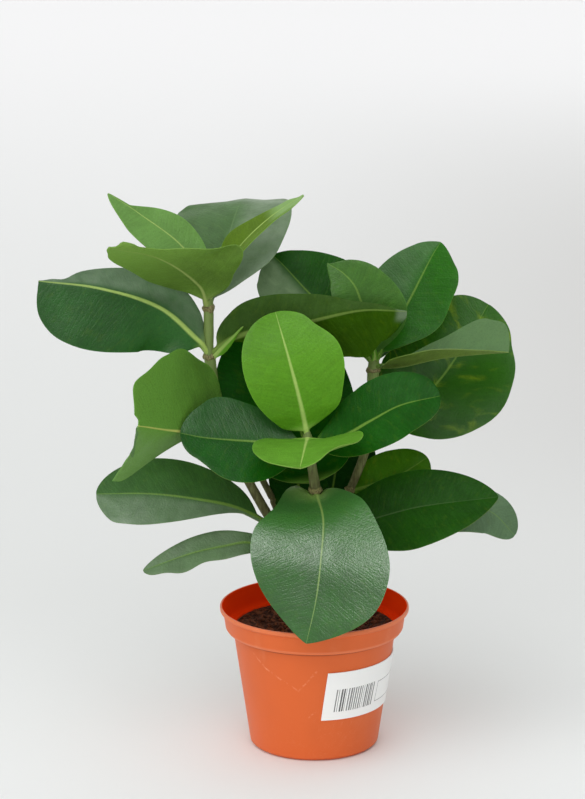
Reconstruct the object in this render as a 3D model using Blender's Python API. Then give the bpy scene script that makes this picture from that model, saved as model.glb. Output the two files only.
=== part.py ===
"""Potted clusia: a young broad-leaved shrub with three leafy shoots in a round plastic nursery pot.

Metres, +Z up. The flat underside of the pot rests on Z = 0 and its axis is the Z axis.
Sizes below are in millimetres and become metres where the meshes are built.
"""

import math
import random
from collections import namedtuple

import bmesh
import bpy
from mathutils import Matrix, Vector

MM = 0.001
GAP = 0.3  # clear space left between neighbouring solids

# Pot
POT_STEPS = 44
POT_WALL = [  # radius and height of the outer face, from the foot to the rim
    (38.6, 0.0),
    (40.9, 2.0),
    (51.5, 74.0),
    (52.2, 75.0),
    (55.2, 75.2),
    (56.5, 77.0),
    (57.9, 86.8),
    (60.0, 88.0),
    (60.0, 90.5),
]
POT_INSIDE = [  # radius and height of the inner face, from the rim to the floor
    (58.4, 90.5),
    (55.3, 79.4),
    (54.3, 78.0),
    (51.2, 77.4),
    (50.0, 75.4),
    (39.5, 4.0),
]
POT_FLOOR = 2.2
DRAIN_COUNT = 6
DRAIN_RADIUS = 3.5
DRAIN_RING = 27.0
DRAIN_SIDES = 12

# Soil
SOIL_TOP = 76.6
SOIL_BOTTOM = POT_FLOOR + GAP
SOIL_ROUGHNESS = 1.2
SOIL_SEED = 4
SOIL_RINGS = (9.0, 18.0, 28.0, 38.0, 47.0)

# Label wrapped round the right front of the pot
LABEL_BOTTOM = 29.0
LABEL_TOP = 61.5
LABEL_START = 5.0  # degrees round from the front
LABEL_SWEEP = 89.0
LABEL_LEAN = 4.5  # degrees by which the top stands further round than the bottom
LABEL_THICKNESS = 0.5
LABEL_STEPS = 18

# Stems: path points with the radius of the wood at each
TRUNK_HOLE_BOTTOM = 36.0
TRUNK_RADIUS = 4.8
STEM_SIDES = 2  # bevel resolution of the round section
Stem = namedtuple("Stem", "name points radii")
STEMS = (
    Stem(
        "trunk",
        ((0, 0, 36.6), (0, 0, 82), (-3, -1, 92), (-6.5, -2, 101), (-8, -2.5, 106)),
        (4.6, 4.8, 4.8, 4.6, 4.0),
    ),
    Stem(
        "left_shoot",
        (
            (-5, -1.5, 97), (-14, -6, 122), (-24.5, -8, 143.5), (-33, -8, 158.5), (-40.5, -8, 172.5),
            (-49.5, -6, 190.5), (-54, -4, 206.5), (-61.5, -2, 228.5), (-65.5, 0, 252), (-66, 0, 258),
            (-66, 0, 284), (-66.5, 0, 289), (-67, 0, 295),
        ),
        (3.4, 3.3, 3.2, 3.1, 3.0, 3.0, 3.6, 3.0, 3.6, 3.2, 3.2, 3.4, 1.8),
    ),
    Stem(
        "middle_shoot",
        ((-6, -2, 99), (-1.5, -12, 130.5), (1.5, -16, 151), (0.5, -20, 170.5), (-2, -22, 188.5), (-4.5, -24, 205),
         (-4.8, -24.3, 211)),
        (3.4, 3.2, 3.2, 3.6, 3.0, 3.4, 1.8),
    ),
    Stem(
        "right_shoot",
        ((-5, -1.5, 98), (5, 4, 129), (22.5, 10, 163.5), (34, 14, 195), (35.5, 12, 221.5), (37, 11, 244),
         (37.4, 11, 250), (37.5, 11, 253)),
        (3.4, 3.2, 2.7, 2.9, 3.0, 3.8, 3.2, 1.6),
    ),
    Stem(
        "back_twig",
        ((-9, -3, 112), (-18, -1, 136), (-25.3, 0, 157.5), (-31.6, 2, 170), (-37, 5, 180), (-39, 6.5, 184)),
        (2.4, 2.4, 2.3, 2.2, 2.0, 1.4),
    ),
)

# Narrow bud leaves at the shoot tips: foot, tip and foot radius
Bud = namedtuple("Bud", "foot tip radius")
BUDS = (
    Bud((-66.5, 0, 292), (-62, -3, 301), 1.4),
    Bud((37, 10, 247), (29.5, 5, 256), 1.3),
    Bud((37.5, 10, 247), (37, 3, 258), 1.5),
    Bud((38, 10, 247), (42, 4, 256), 1.4),
)
BUD_SIDES = 6

# Leaves
LEAF_ROWS = 11
LEAF_COLUMNS = 6
LEAF_THICKNESS = 0.9
LEAF_EDGE_THICKNESS = 0.7
RIB_DEPTH = 1.7
RIB_SPREAD = 2.6
STALK_HALF_WIDTH = 2.0
FOLD_GROWTH = 0.15  # share of the length over which the fold opens above the stalk
TIP_END = 0.998

Side = namedtuple("Side", "width belly taper fold")
Leaf = namedtuple("Leaf", "name spine face left right stalk wave", defaults=(0.06, (0.0, 1.5)))
# Each leaf follows its spine from the stem to its tip. `face` is the way the upper side looks. Each side of the
# midrib has its half width, where along the leaf that is reached, how sharply it tapers to the tip and the
# angle in degrees by which it is folded up. `stalk` is the bare share of the length, `wave` the height and
# number of the waves along the edge.
LEAVES = (
    Leaf("leaf_left_crown_pale", ((-67, 1, 289), (-80, 6, 318), (-110, 4, 343), (-127.5, 0, 355.5)),
         (0.45, -0.75, 0.5), Side(20, 0.5, 0.7, 12), Side(14, 0.4, 1.5, 12)),
    Leaf("leaf_left_crown_narrow", ((-66, -0.5, 289), (-46.5, -4, 319.5), (-26, -6, 340.5), (-7, -8, 356)),
         (-0.5, -0.35, 0.8), Side(11, 0.4, 1.7, 30), Side(6.5, 0.42, 1.3, 45)),
    Leaf("leaf_left_crown_back",
         ((-66, 0.5, 284), (-58, 14, 309.5), (-51.5, 26, 331), (-47, 44, 341), (-43.5, 66, 340)),
         (0.0, -0.8, 0.6), Side(39, 0.62, 0.4, -20), Side(36, 0.66, 0.42, 10), wave=(2.0, 1.5)),
    Leaf("leaf_left_crown_front", ((-66.5, -0.5, 284), (-71, -10, 300), (-94, -38, 322.5), (-123, -70, 334.5)),
         (-0.05, 0.54, 0.82), Side(36, 0.3, 1.8, 5), Side(26, 0.5, 0.6, 0)),
    Leaf("leaf_left_middle_outer",
         ((-66, -0.5, 254), (-73, -6, 264.5), (-95.5, -12, 286), (-132, -18, 299.5), (-169.5, -22, 305)),
         (0.1, -0.7, 0.7), Side(39, 0.65, 0.3, -28), Side(25, 0.36, 1.2, -10)),
    Leaf("leaf_left_middle_inner",
         ((-65.5, -0.5, 253.5), (-49, -4, 266), (-9.5, -8, 275), (28, -8, 283.5), (57, -8, 283)),
         (0.1, 0.95, -0.1), Side(32, 0.78, 0.4, 10), Side(21, 0.3, 1.4, 10)),
    Leaf("leaf_left_low_front", ((-54, -4.5, 206.5), (-83, -34, 213.5), (-107, -68, 225.5)),
         (-0.8, 0.6, 0.0), Side(53, 0.6, 0.22, 5), Side(39, 0.85, 0.35, 32), stalk=0.06),
    Leaf("leaf_left_low_back", ((-54, -3.5, 206.5), (-70, 10, 211), (-76, 46, 219), (-66, 82, 213)),
         (0.0, -0.3, 0.95), Side(24, 0.55, 0.5, 6), Side(24, 0.55, 0.5, 6), stalk=0.16),
    Leaf("leaf_middle_upright", ((-4.5, -24, 207), (-9.5, -26, 231), (-16, -24, 256), (-24.5, -14, 284)),
         (0.1, -1.0, 0.2), Side(30, 0.55, 0.45, 8), Side(33, 0.54, 0.6, 8)),
    Leaf("leaf_middle_left", ((-4.5, -24, 202.5), (-37, -30, 205.5), (-67.5, -36, 209.5), (-83, -38, 213)),
         (0.0, -0.8, 0.6), Side(29, 0.5, 0.65, 6), Side(26, 0.6, 0.5, 6)),
    Leaf("leaf_middle_front", ((-4.5, -24.5, 206), (-9.5, -50, 208), (-16.5, -96, 206.5)),
         (0.0, -0.1, 1.0), Side(42, 0.36, 0.9, 14), Side(30, 0.5, 0.5, 5)),
    Leaf("leaf_middle_right",
         ((-4.5, -24, 202.5), (15.5, -26, 207), (34, -28, 218), (52.5, -28, 228), (77, -28, 234)),
         (0.1, -0.75, 0.65), Side(23, 0.58, 0.45, 5), Side(21, 0.58, 0.45, 5)),
    Leaf("leaf_middle_back",
         ((0.5, -20, 171), (-6, 4, 194.5), (-16.5, 16, 227), (-24.5, 22, 258), (-27, 22, 272)),
         (0.0, -0.95, 0.3), Side(47, 0.53, 0.42, 5), Side(39, 0.5, 0.45, 5)),
    Leaf("leaf_middle_drooping",
         ((0.5, -20, 170.5), (5, -42, 159), (3.5, -58, 138), (0.5, -66, 114.5), (-5.5, -72, 88.5)),
         (0.0, -0.8, 0.6), Side(43, 0.55, 0.62, 14), Side(45, 0.42, 0.62, 14), stalk=0.04),
    Leaf("leaf_low_left_upper",
         ((-25, -8, 144), (-48.5, -18, 159.5), (-71.5, -24, 166.5), (-102, -30, 172), (-135.5, -34, 173)),
         (0.0, -0.7, 0.7), Side(21, 0.75, 0.5, -5), Side(28, 0.55, 0.6, -5), stalk=0.12),
    Leaf("leaf_low_left_lower",
         ((-12, -5, 118), (-40, -16, 136), (-58, -20, 135), (-78, -26, 132), (-107, -34, 123.5)),
         (0.0, -0.75, 0.6), Side(12, 0.7, 0.6, 5), Side(11, 0.45, 0.7, 5), stalk=0.1),
    Leaf("leaf_right_crown_left",
         ((36.3, 11.2, 246), (17.5, 24, 266), (-5, 32, 287.5), (-21, 38, 304), (-27, 40, 309)),
         (0.0, -0.75, 0.65), Side(29, 0.65, 0.35, 5), Side(34, 0.5, 0.9, 5)),
    Leaf("leaf_right_crown_front",
         ((37.3, 10.2, 247), (32, 4, 273.5), (26, 4, 295), (20, 5, 306.5), (8, 6, 310.5)),
         (0.1, -0.95, 0.2), Side(17, 0.6, 0.5, 5), Side(27, 0.4, 1.3, 5)),
    Leaf("leaf_right_crown_upright",
         ((38.2, 11.7, 247), (48.5, 20, 265), (58, 26, 279.5), (74, 34, 309.5), (79.5, 36, 318)),
         (-0.1, -0.85, 0.5), Side(28, 0.48, 0.8, 5), Side(29, 0.58, 0.7, 5)),
    Leaf("leaf_right_crown_back", ((37.2, 13, 243.5), (38, 45, 262), (36, 74, 269), (34, 96, 262)),
         (0.0, -0.3, 0.95), Side(22, 0.55, 0.5, 6), Side(22, 0.55, 0.5, 6)),
    Leaf("leaf_right_crown_outer",
         ((37.5, 10.5, 244), (53, 0, 246.5), (77.5, -8, 253.5), (102, -14, 257.5), (121, -18, 259.5)),
         (0.0, -0.05, 1.0), Side(30, 0.8, 0.35, 34), Side(20, 0.4, 1.2, 30)),
    Leaf("leaf_right_middle_outer",
         ((35.5, 12.5, 212), (57.5, 24, 215.5), (74.5, 30, 224.5), (90.5, 38, 243.5), (111, 50, 275)),
         (-0.2, -0.9, 0.4), Side(40, 0.5, 0.38, 5), Side(41, 0.56, 0.6, 5)),
    Leaf("leaf_right_middle_inner", ((34.5, 13.5, 199), (15, 45, 203), (-8, 78, 203), (-20, 100, 196)),
         (0.0, -0.1, 1.0), Side(26, 0.55, 0.5, 5), Side(26, 0.55, 0.5, 5)),
    Leaf("leaf_low_right_upper", ((21.5, 10, 162), (35, 10, 166), (54, 16, 171.5), (72, 21.5, 181.5)),
         (0.0, -0.7, 0.7), Side(19, 0.5, 0.55, 5), Side(20, 0.5, 0.55, 5)),
    Leaf("leaf_low_right_front",
         ((4.5, 3.5, 127), (22.5, -8, 145), (38.5, -10, 150.5), (66, -12, 158.5), (115, -14, 165.5)),
         (0.0, -0.75, 0.65), Side(25, 0.5, 0.7, 5), Side(29, 0.45, 0.8, 5), stalk=0.1),
    Leaf("leaf_low_right_back",
         ((6, 5, 130), (42, 16, 145), (86.5, 24, 151), (112.5, 26, 144.5), (128.5, 26, 128.5)),
         (0.1, -0.75, 0.65), Side(14, 0.75, 0.5, 5), Side(22, 0.5, 0.5, 5), stalk=0.1),
    Leaf("leaf_low_back_left", ((-36.5, 4.7, 178.5), (-42, 14, 188), (-47, 22, 200), (-50, 28, 208)),
         (0.0, -0.8, 0.6), Side(16, 0.5, 0.5, 6), Side(16, 0.5, 0.5, 6)),
    Leaf("leaf_low_back_middle", ((1.2, -15.5, 149), (-7, 0, 160), (-13, 12, 178), (-14, 22, 198)),
         (0.0, -0.9, 0.5), Side(18, 0.42, 0.5, 5), Side(18, 0.42, 0.5, 5)),
    Leaf("leaf_low_back_right", ((8.5, 5.5, 137), (11, 22, 156), (15, 34, 178), (17, 42, 197)),
         (0.0, -0.9, 0.5), Side(24, 0.55, 0.35, 6), Side(26, 0.55, 0.35, 6)),
)

FINISHES = {  # base colour, roughness
    "pot_plastic": ((0.72, 0.15, 0.045, 1.0), 0.45),
    "soil": ((0.035, 0.02, 0.013, 1.0), 0.95),
    "label_paper": ((0.85, 0.85, 0.83, 1.0), 0.6),
    "green_wood": ((0.16, 0.13, 0.06, 1.0), 0.6),
    "leaf_upper": ((0.03, 0.14, 0.03, 1.0), 0.35),
    "leaf_young": ((0.16, 0.38, 0.06, 1.0), 0.4),
}
YOUNG_LEAVES = {
    "leaf_left_crown_pale",
    "leaf_left_crown_narrow",
    "leaf_middle_upright",
    "leaf_middle_front",
}


def clear_scene():
    for obj in list(bpy.data.objects):
        bpy.data.objects.remove(obj, do_unlink=True)


def material(name):
    colour, roughness = FINISHES[name]
    made = bpy.data.materials.get(name) or bpy.data.materials.new(name)
    made.use_nodes = True
    shader = made.node_tree.nodes["Principled BSDF"]
    shader.inputs["Base Color"].default_value = colour
    shader.inputs["Roughness"].default_value = roughness
    return made


def link_mesh(name, bm, finish):
    """Turns the bmesh into a named object with outward normals and one finish."""
    bmesh.ops.remove_doubles(bm, verts=bm.verts[:], dist=0.00001)
    bmesh.ops.recalc_face_normals(bm, faces=bm.faces[:])
    mesh = bpy.data.meshes.new(name)
    bm.to_mesh(mesh)
    bm.free()
    obj = bpy.data.objects.new(name, mesh)
    bpy.context.scene.collection.objects.link(obj)
    if finish:
        own = material(finish).copy()
        own.name = name + "_finish"
        mesh.materials.append(own)
    return obj


def smooth(obj, degrees=40):
    obj.data.shade_smooth()
    obj.data.set_sharp_from_angle(angle=math.radians(degrees))
    return obj


def cut(obj, cutter, operation="DIFFERENCE"):
    """Applies a Boolean with one cutter, then removes the cutter."""
    modifier = obj.modifiers.new("cut", "BOOLEAN")
    modifier.operation = operation
    modifier.solver = "MANIFOLD"
    modifier.object = cutter
    apply_modifiers(obj)
    return obj


def apply_modifiers(obj):
    graph = bpy.context.evaluated_depsgraph_get()
    graph.update()
    baked = bpy.data.meshes.new_from_object(obj.evaluated_get(graph))
    obj.modifiers.clear()
    obj.data = baked


def remove(obj):
    bpy.data.objects.remove(obj, do_unlink=True)


def spun(name, profile, steps, finish, start=0.0, sweep=360.0):
    """Spins a closed profile of radius and height pairs, in millimetres, round the Z axis."""
    bm = bmesh.new()
    turn = math.radians(start)
    points = [
        bm.verts.new((r * MM * math.cos(turn), r * MM * math.sin(turn), z * MM)) for r, z in profile
    ]
    full = sweep >= 360.0
    edges = [bm.edges.new((a, b)) for a, b in zip(points, points[1:])]
    on_axis = profile[0][0] == 0 and profile[-1][0] == 0
    if not on_axis:
        edges.append(bm.edges.new((points[-1], points[0])))
    if not full:
        bm.faces.new(points)
        edges = [bm.faces[:][0]] + edges + points
    bmesh.ops.spin(
        bm,
        geom=edges if not full else edges + points,
        axis=(0, 0, 1),
        cent=(0, 0, 0),
        angle=math.radians(sweep),
        steps=steps,
        use_merge=full,
    )
    return link_mesh(name, bm, finish)


def inside_radius(height):
    """Radius of the pot's inner face at this height."""
    for (r1, z1), (r0, z0) in zip(POT_INSIDE, POT_INSIDE[1:]):
        if z0 <= height <= z1:
            return r0 + (r1 - r0) * (height - z0) / (z1 - z0)
    return POT_INSIDE[-1][0]


def build_pot():
    profile = [(0.0, 0.0)] + POT_WALL + POT_INSIDE + [(36.0, POT_FLOOR), (0.0, POT_FLOOR)]
    pot = spun("pot", profile, POT_STEPS, "pot_plastic")
    for index in range(DRAIN_COUNT):
        turn = 2 * math.pi * (index + 0.5) / DRAIN_COUNT
        drill = bmesh.new()
        bmesh.ops.create_cone(
            drill, cap_ends=True, segments=DRAIN_SIDES, radius1=DRAIN_RADIUS * MM, radius2=DRAIN_RADIUS * MM,
            depth=4 * POT_FLOOR * MM,
        )
        across = Vector((math.cos(turn), math.sin(turn), 0)) * DRAIN_RING * MM
        bmesh.ops.translate(drill, verts=drill.verts[:], vec=across)
        cutter = link_mesh("drain_cutter", drill, None)
        cut(pot, cutter)
        remove(cutter)
    return smooth(pot)


def build_soil():
    """A plug of soil that follows the inner wall, with a plain hole for the trunk and an uneven top."""
    hole = TRUNK_RADIUS + GAP
    wall = [(r - GAP, z) for r, z in POT_INSIDE if z < SOIL_TOP]
    top = [(hole, SOIL_TOP)] + [(r, SOIL_TOP) for r in SOIL_RINGS]
    top.append((inside_radius(SOIL_TOP) - GAP, SOIL_TOP))
    floor = [(35.0, SOIL_BOTTOM), (0.0, SOIL_BOTTOM)]
    well = [(0.0, TRUNK_HOLE_BOTTOM), (hole, TRUNK_HOLE_BOTTOM)]
    soil = spun("soil", well + top + wall + floor, POT_STEPS, "soil")
    draw = random.Random(SOIL_SEED)
    for vertex in sorted(soil.data.vertices, key=lambda v: (round(v.co.x, 6), round(v.co.y, 6), v.co.z)):
        radius = math.hypot(vertex.co.x, vertex.co.y) / MM
        if vertex.co.z > (SOIL_TOP - 0.5) * MM and radius > hole + 1:
            edge = min(1.0, (inside_radius(SOIL_TOP) - radius) / 6.0)
            vertex.co.z += draw.uniform(-1, 1) * SOIL_ROUGHNESS * max(edge, 0.0) * MM
    return soil


def wall_radius(height):
    """Radius of the pot's outer face at this height."""
    for (r0, z0), (r1, z1) in zip(POT_WALL, POT_WALL[1:]):
        if z0 <= height <= z1:
            return r0 + (r1 - r0) * (height - z0) / (z1 - z0)
    return POT_WALL[-1][0]


def build_label():
    inner = [(wall_radius(z) + GAP, z) for z in (LABEL_BOTTOM, LABEL_TOP)]
    outer = [(r + LABEL_THICKNESS, z) for r, z in reversed(inner)]
    start = LABEL_START - 90.0
    label = spun("label", inner + outer, LABEL_STEPS, "label_paper", start, LABEL_SWEEP)
    for vertex in label.data.vertices:
        rise = (vertex.co.z / MM - LABEL_BOTTOM) / (LABEL_TOP - LABEL_BOTTOM)
        vertex.co.rotate(Matrix.Rotation(math.radians(LABEL_LEAN * rise), 3, "Z"))
    return smooth(label)


def tube(name, points, radii, extra=0.0):
    """A round stem through the points, as a closed mesh."""
    curve = bpy.data.curves.new(name, "CURVE")
    curve.dimensions = "3D"
    curve.bevel_depth = MM
    curve.bevel_resolution = STEM_SIDES
    curve.use_fill_caps = True
    curve.resolution_u = 2
    spline = curve.splines.new("POLY")
    spline.points.add(len(points) - 1)
    for spot, place, radius in zip(spline.points, points, radii):
        spot.co = (*(Vector(place) * MM), 1.0)
        spot.radius = radius + extra
    source = bpy.data.objects.new(name, curve)
    bpy.context.scene.collection.objects.link(source)
    graph = bpy.context.evaluated_depsgraph_get()
    graph.update()
    mesh = bpy.data.meshes.new_from_object(source.evaluated_get(graph))
    remove(source)
    bm = bmesh.new()
    bm.from_mesh(mesh)
    return link_mesh(name, bm, None)


def bud_cone(bud, extra=0.0):
    bm = bmesh.new()
    along = (Vector(bud.tip) - Vector(bud.foot)) * MM
    bmesh.ops.create_cone(
        bm, cap_ends=True, segments=BUD_SIDES, radius1=(bud.radius + extra) * MM,
        radius2=(0.25 * bud.radius + extra) * MM, depth=along.length,
    )
    turn = along.to_track_quat("Z", "Y").to_matrix()
    bmesh.ops.rotate(bm, verts=bm.verts[:], cent=(0, 0, 0), matrix=turn)
    bmesh.ops.translate(bm, verts=bm.verts[:], vec=Vector(bud.foot) * MM + along / 2)
    return link_mesh("bud", bm, None)


def fused(name, pieces, finish):
    """Joins the pieces into one closed body."""
    group = bpy.data.collections.new(name + "_pieces")
    base = pieces[0]
    for piece in pieces[1:]:
        group.objects.link(piece)
    modifier = base.modifiers.new("join", "BOOLEAN")
    modifier.operation = "UNION"
    modifier.solver = "MANIFOLD"
    modifier.operand_type = "COLLECTION"
    modifier.collection = group
    apply_modifiers(base)
    for piece in list(group.objects):
        remove(piece)
    bpy.data.collections.remove(group)
    base.name = name
    base.data.materials.clear()
    if finish:
        own = material(finish).copy()
        own.name = name + "_finish"
        base.data.materials.append(own)
    return base


def woody_body(name, finish, extra=0.0):
    pieces = [tube(stem.name, stem.points, stem.radii, extra) for stem in STEMS]
    pieces += [bud_cone(bud, extra) for bud in BUDS]
    return fused(name, pieces, finish)


def spine_point(points, share):
    """A smooth curve through the points, with `share` running from 0 at the first to 1 at the last."""
    chords = [(b - a).length for a, b in zip(points, points[1:])]
    total = sum(chords)
    knots = [sum(chords[:i]) / total for i in range(len(points))]
    near = max(i for i, knot in enumerate(knots[:-1]) if knot <= share or i == 0)
    full = [2 * points[0] - points[1]] + points + [2 * points[-1] - points[-2]]
    marks = [-knots[1]] + knots + [2 - knots[-2]]
    a, b, c, d = full[near : near + 4]
    ka, kb, kc, kd = marks[near : near + 4]
    step = kc - kb
    s = (share - kb) / step
    leave = (c - a) / (kc - ka) * step
    arrive = (d - b) / (kd - kb) * step
    start = (2 * s**3 - 3 * s**2 + 1) * b + (s**3 - 2 * s**2 + s) * leave
    return start + (3 * s**2 - 2 * s**3) * c + (s**3 - s**2) * arrive


def half_width(leaf, side, share):
    along = (share - leaf.stalk) / (1 - leaf.stalk)
    if along <= 0:
        return STALK_HALF_WIDTH
    rise = side.taper * side.belly / (1 - side.belly)
    spread = (along / side.belly) ** rise * (max(1 - along, 0) / (1 - side.belly)) ** side.taper
    return max(STALK_HALF_WIDTH * (1 - along) ** 0.3, side.width * spread)


def blade_point(leaf, share, across):
    """A point of the blade's middle surface, `across` running from -1 at the left edge to 1 at the right."""
    points = [Vector(p) for p in leaf.spine]
    step = 0.001
    centre = spine_point(points, share)
    ahead = spine_point(points, min(share + step, 1.0)) - spine_point(points, max(share - step, 0.0))
    sideways = ahead.cross(Vector(leaf.face)).normalized()
    up = sideways.cross(ahead).normalized()
    side = leaf.right if across > 0 else leaf.left
    reach = abs(across) * half_width(leaf, side, share)
    opened = min(1.0, max(0.0, (share - leaf.stalk) / FOLD_GROWTH))
    angle = math.radians(side.fold) * opened
    height, count = leaf.wave
    flip = 1 if across > 0 else -1
    lift = height * (reach / side.width) ** 2 * math.sin(2 * math.pi * count * share) * flip
    return centre + sideways * math.copysign(reach * math.cos(angle), across) + up * (
        reach * math.sin(angle) + lift
    )


def blade_normal(leaf, share, across):
    step = 0.01
    low, high = max(share - step, 0.0), min(share + step, 0.99)
    left, right = max(across - 0.05, -1.0), min(across + 0.05, 1.0)
    along = blade_point(leaf, high, across) - blade_point(leaf, low, across)
    over = blade_point(leaf, share, right) - blade_point(leaf, share, left)
    return over.cross(along).normalized()


def half_thickness(leaf, share, across):
    """Half the blade's thickness: thick along the midrib near the stem, thin at the edge."""
    side = leaf.right if across > 0 else leaf.left
    reach = abs(across) * half_width(leaf, side, share)
    plate = LEAF_THICKNESS + (LEAF_EDGE_THICKNESS - LEAF_THICKNESS) * abs(across)
    rib = RIB_DEPTH * (1 - share) ** 1.5 * math.exp(-((reach / RIB_SPREAD) ** 2))
    return (plate + rib) / 2


def build_leaf(leaf):
    """A flat slab, split alike on both faces, that is then laid along the leaf's curved surface."""
    bm = bmesh.new()
    bmesh.ops.create_grid(bm, x_segments=LEAF_ROWS, y_segments=LEAF_COLUMNS, size=0.5)
    bmesh.ops.triangulate(bm, faces=bm.faces[:], quad_method="FIXED")
    raised = bmesh.ops.extrude_face_region(bm, geom=bm.faces[:])
    lifted = [item for item in raised["geom"] if isinstance(item, bmesh.types.BMVert)]
    bmesh.ops.translate(bm, verts=lifted, vec=(0, 0, 1))
    for vertex in bm.verts:
        share = TIP_END * (1 - math.cos(math.pi * (vertex.co.x + 0.5))) / 2
        across = max(-1.0, min(1.0, 2 * vertex.co.y))
        offset = half_thickness(leaf, share, across) * (1 if vertex.co.z > 0.5 else -1)
        vertex.co = (blade_point(leaf, share, across) + blade_normal(leaf, share, across) * offset) * MM
    finish = "leaf_young" if leaf.name in YOUNG_LEAVES else "leaf_upper"
    return smooth(link_mesh(leaf.name, bm, finish), 60)


def build_leaves():
    """Every leaf, its foot cut back to stand just clear of the wood."""
    clearance = woody_body("clearance", None, GAP)
    for leaf in LEAVES:
        cut(build_leaf(leaf), clearance)
    remove(clearance)


def main():
    clear_scene()
    build_pot()
    build_soil()
    build_label()
    smooth(woody_body("woody_stems", "green_wood"), 50)
    build_leaves()


main()
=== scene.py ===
"""Potted clusia: leaves, wood, soil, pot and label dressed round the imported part.

Its floor, lights and camera come last. Sizes are in millimetres, the same as in the solids, and become metres
where a mesh is laid out.
"""

import logging
import math
import random
from collections.abc import Callable, Iterable, Sequence
from dataclasses import dataclass, replace
from enum import Enum

import bmesh
import bpy
from mathutils import Matrix, Vector, noise


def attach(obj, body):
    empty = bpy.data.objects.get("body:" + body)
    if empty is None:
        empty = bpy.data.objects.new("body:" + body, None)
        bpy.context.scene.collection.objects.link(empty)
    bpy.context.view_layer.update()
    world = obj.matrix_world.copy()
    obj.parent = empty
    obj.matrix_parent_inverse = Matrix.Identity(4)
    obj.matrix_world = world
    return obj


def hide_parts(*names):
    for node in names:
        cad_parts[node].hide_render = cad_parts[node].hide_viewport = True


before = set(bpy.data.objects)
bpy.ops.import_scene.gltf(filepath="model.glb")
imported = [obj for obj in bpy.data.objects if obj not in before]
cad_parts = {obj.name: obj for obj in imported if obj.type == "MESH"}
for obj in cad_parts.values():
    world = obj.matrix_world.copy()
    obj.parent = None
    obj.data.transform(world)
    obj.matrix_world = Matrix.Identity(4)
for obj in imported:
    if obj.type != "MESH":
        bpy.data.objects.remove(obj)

MM = 0.001
# Points nearer than this, in metres, are merged
MERGED = 0.000005
# Millimetres that the whole width of a leaf's own UV map stands for
UV_SPAN = 200.0
BODY = "root"
Colour = tuple[float, float, float, float]
Point = tuple[float, float, float]
Pair = tuple[float, float]
log = logging.getLogger("potted_clusia")


def tone(red: int, green: int, blue: int) -> Colour:
    """The linear colour of a screen colour given from 0 to 255."""
    parts = [value / 255 for value in (red, green, blue)]
    linear = [p / 12.92 if p <= 0.04045 else ((p + 0.055) / 1.055) ** 2.4 for p in parts]
    return (*linear, 1.0)


def shaded(colour: Colour, factor: float, lift: float = 0.0) -> Colour:
    """The colour made darker or lighter by a factor, then raised by lift."""
    return (*(min(1.0, factor * part + lift) for part in colour[:3]), 1.0)


def eased(value: float, low: float, high: float) -> float:
    """Rises smoothly from 0 at low to 1 at high."""
    share = min(1.0, max(0.0, (value - low) / (high - low)))
    return share * share * (3 - 2 * share)


# Shader graphs


class Wire:
    """A shader socket on which Python's operators add the Math nodes."""

    def __init__(self, graph: "Graph", socket: bpy.types.NodeSocket) -> None:
        """Keeps the socket and the graph that it belongs to."""
        self.graph = graph
        self.socket = socket

    def maths(self, operation: str, *values: "Wire | float") -> "Wire":
        """Adds a Math node.

        Args:
            operation: Blender's name of the operation.
            values: What follows this wire in the node's inputs.

        Returns:
            The node's result.
        """
        return self.graph.node("ShaderNodeMath", {"operation": operation}, dict(enumerate((self, *values))))

    def __add__(self, other: "Wire | float") -> "Wire":
        """This plus other."""
        return self.maths("ADD", other)

    def __radd__(self, other: float) -> "Wire":
        """Other plus this."""
        return self.maths("ADD", other)

    def __sub__(self, other: "Wire | float") -> "Wire":
        """This less other."""
        return self.maths("SUBTRACT", other)

    def __rsub__(self, other: float) -> "Wire":
        """Other less this."""
        return self.maths("MULTIPLY_ADD", -1.0, other)

    def __mul__(self, other: "Wire | float") -> "Wire":
        """This times other."""
        return self.maths("MULTIPLY", other)

    def __rmul__(self, other: float) -> "Wire":
        """Other times this."""
        return self.maths("MULTIPLY", other)

    def __truediv__(self, other: "Wire | float") -> "Wire":
        """This divided by other."""
        return self.maths("DIVIDE", other)

    def __pow__(self, other: float) -> "Wire":
        """This to the power of other."""
        return self.maths("POWER", other)

    def __abs__(self) -> "Wire":
        """The size of this without its sign."""
        return self.maths("ABSOLUTE")

    def fraction(self) -> "Wire":
        """What is left of this above the next lower whole number."""
        return self.maths("FRACT")

    def floor(self) -> "Wire":
        """The next lower whole number."""
        return self.maths("FLOOR")

    def rise(self, low: "Wire | float", high: "Wire | float") -> "Wire":
        """Rises smoothly from 0 at low to 1 at high."""
        kind = {"interpolation_type": "SMOOTHSTEP"}
        return self.graph.node("ShaderNodeMapRange", kind, {"Value": self, "From Min": low, "From Max": high})


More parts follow.
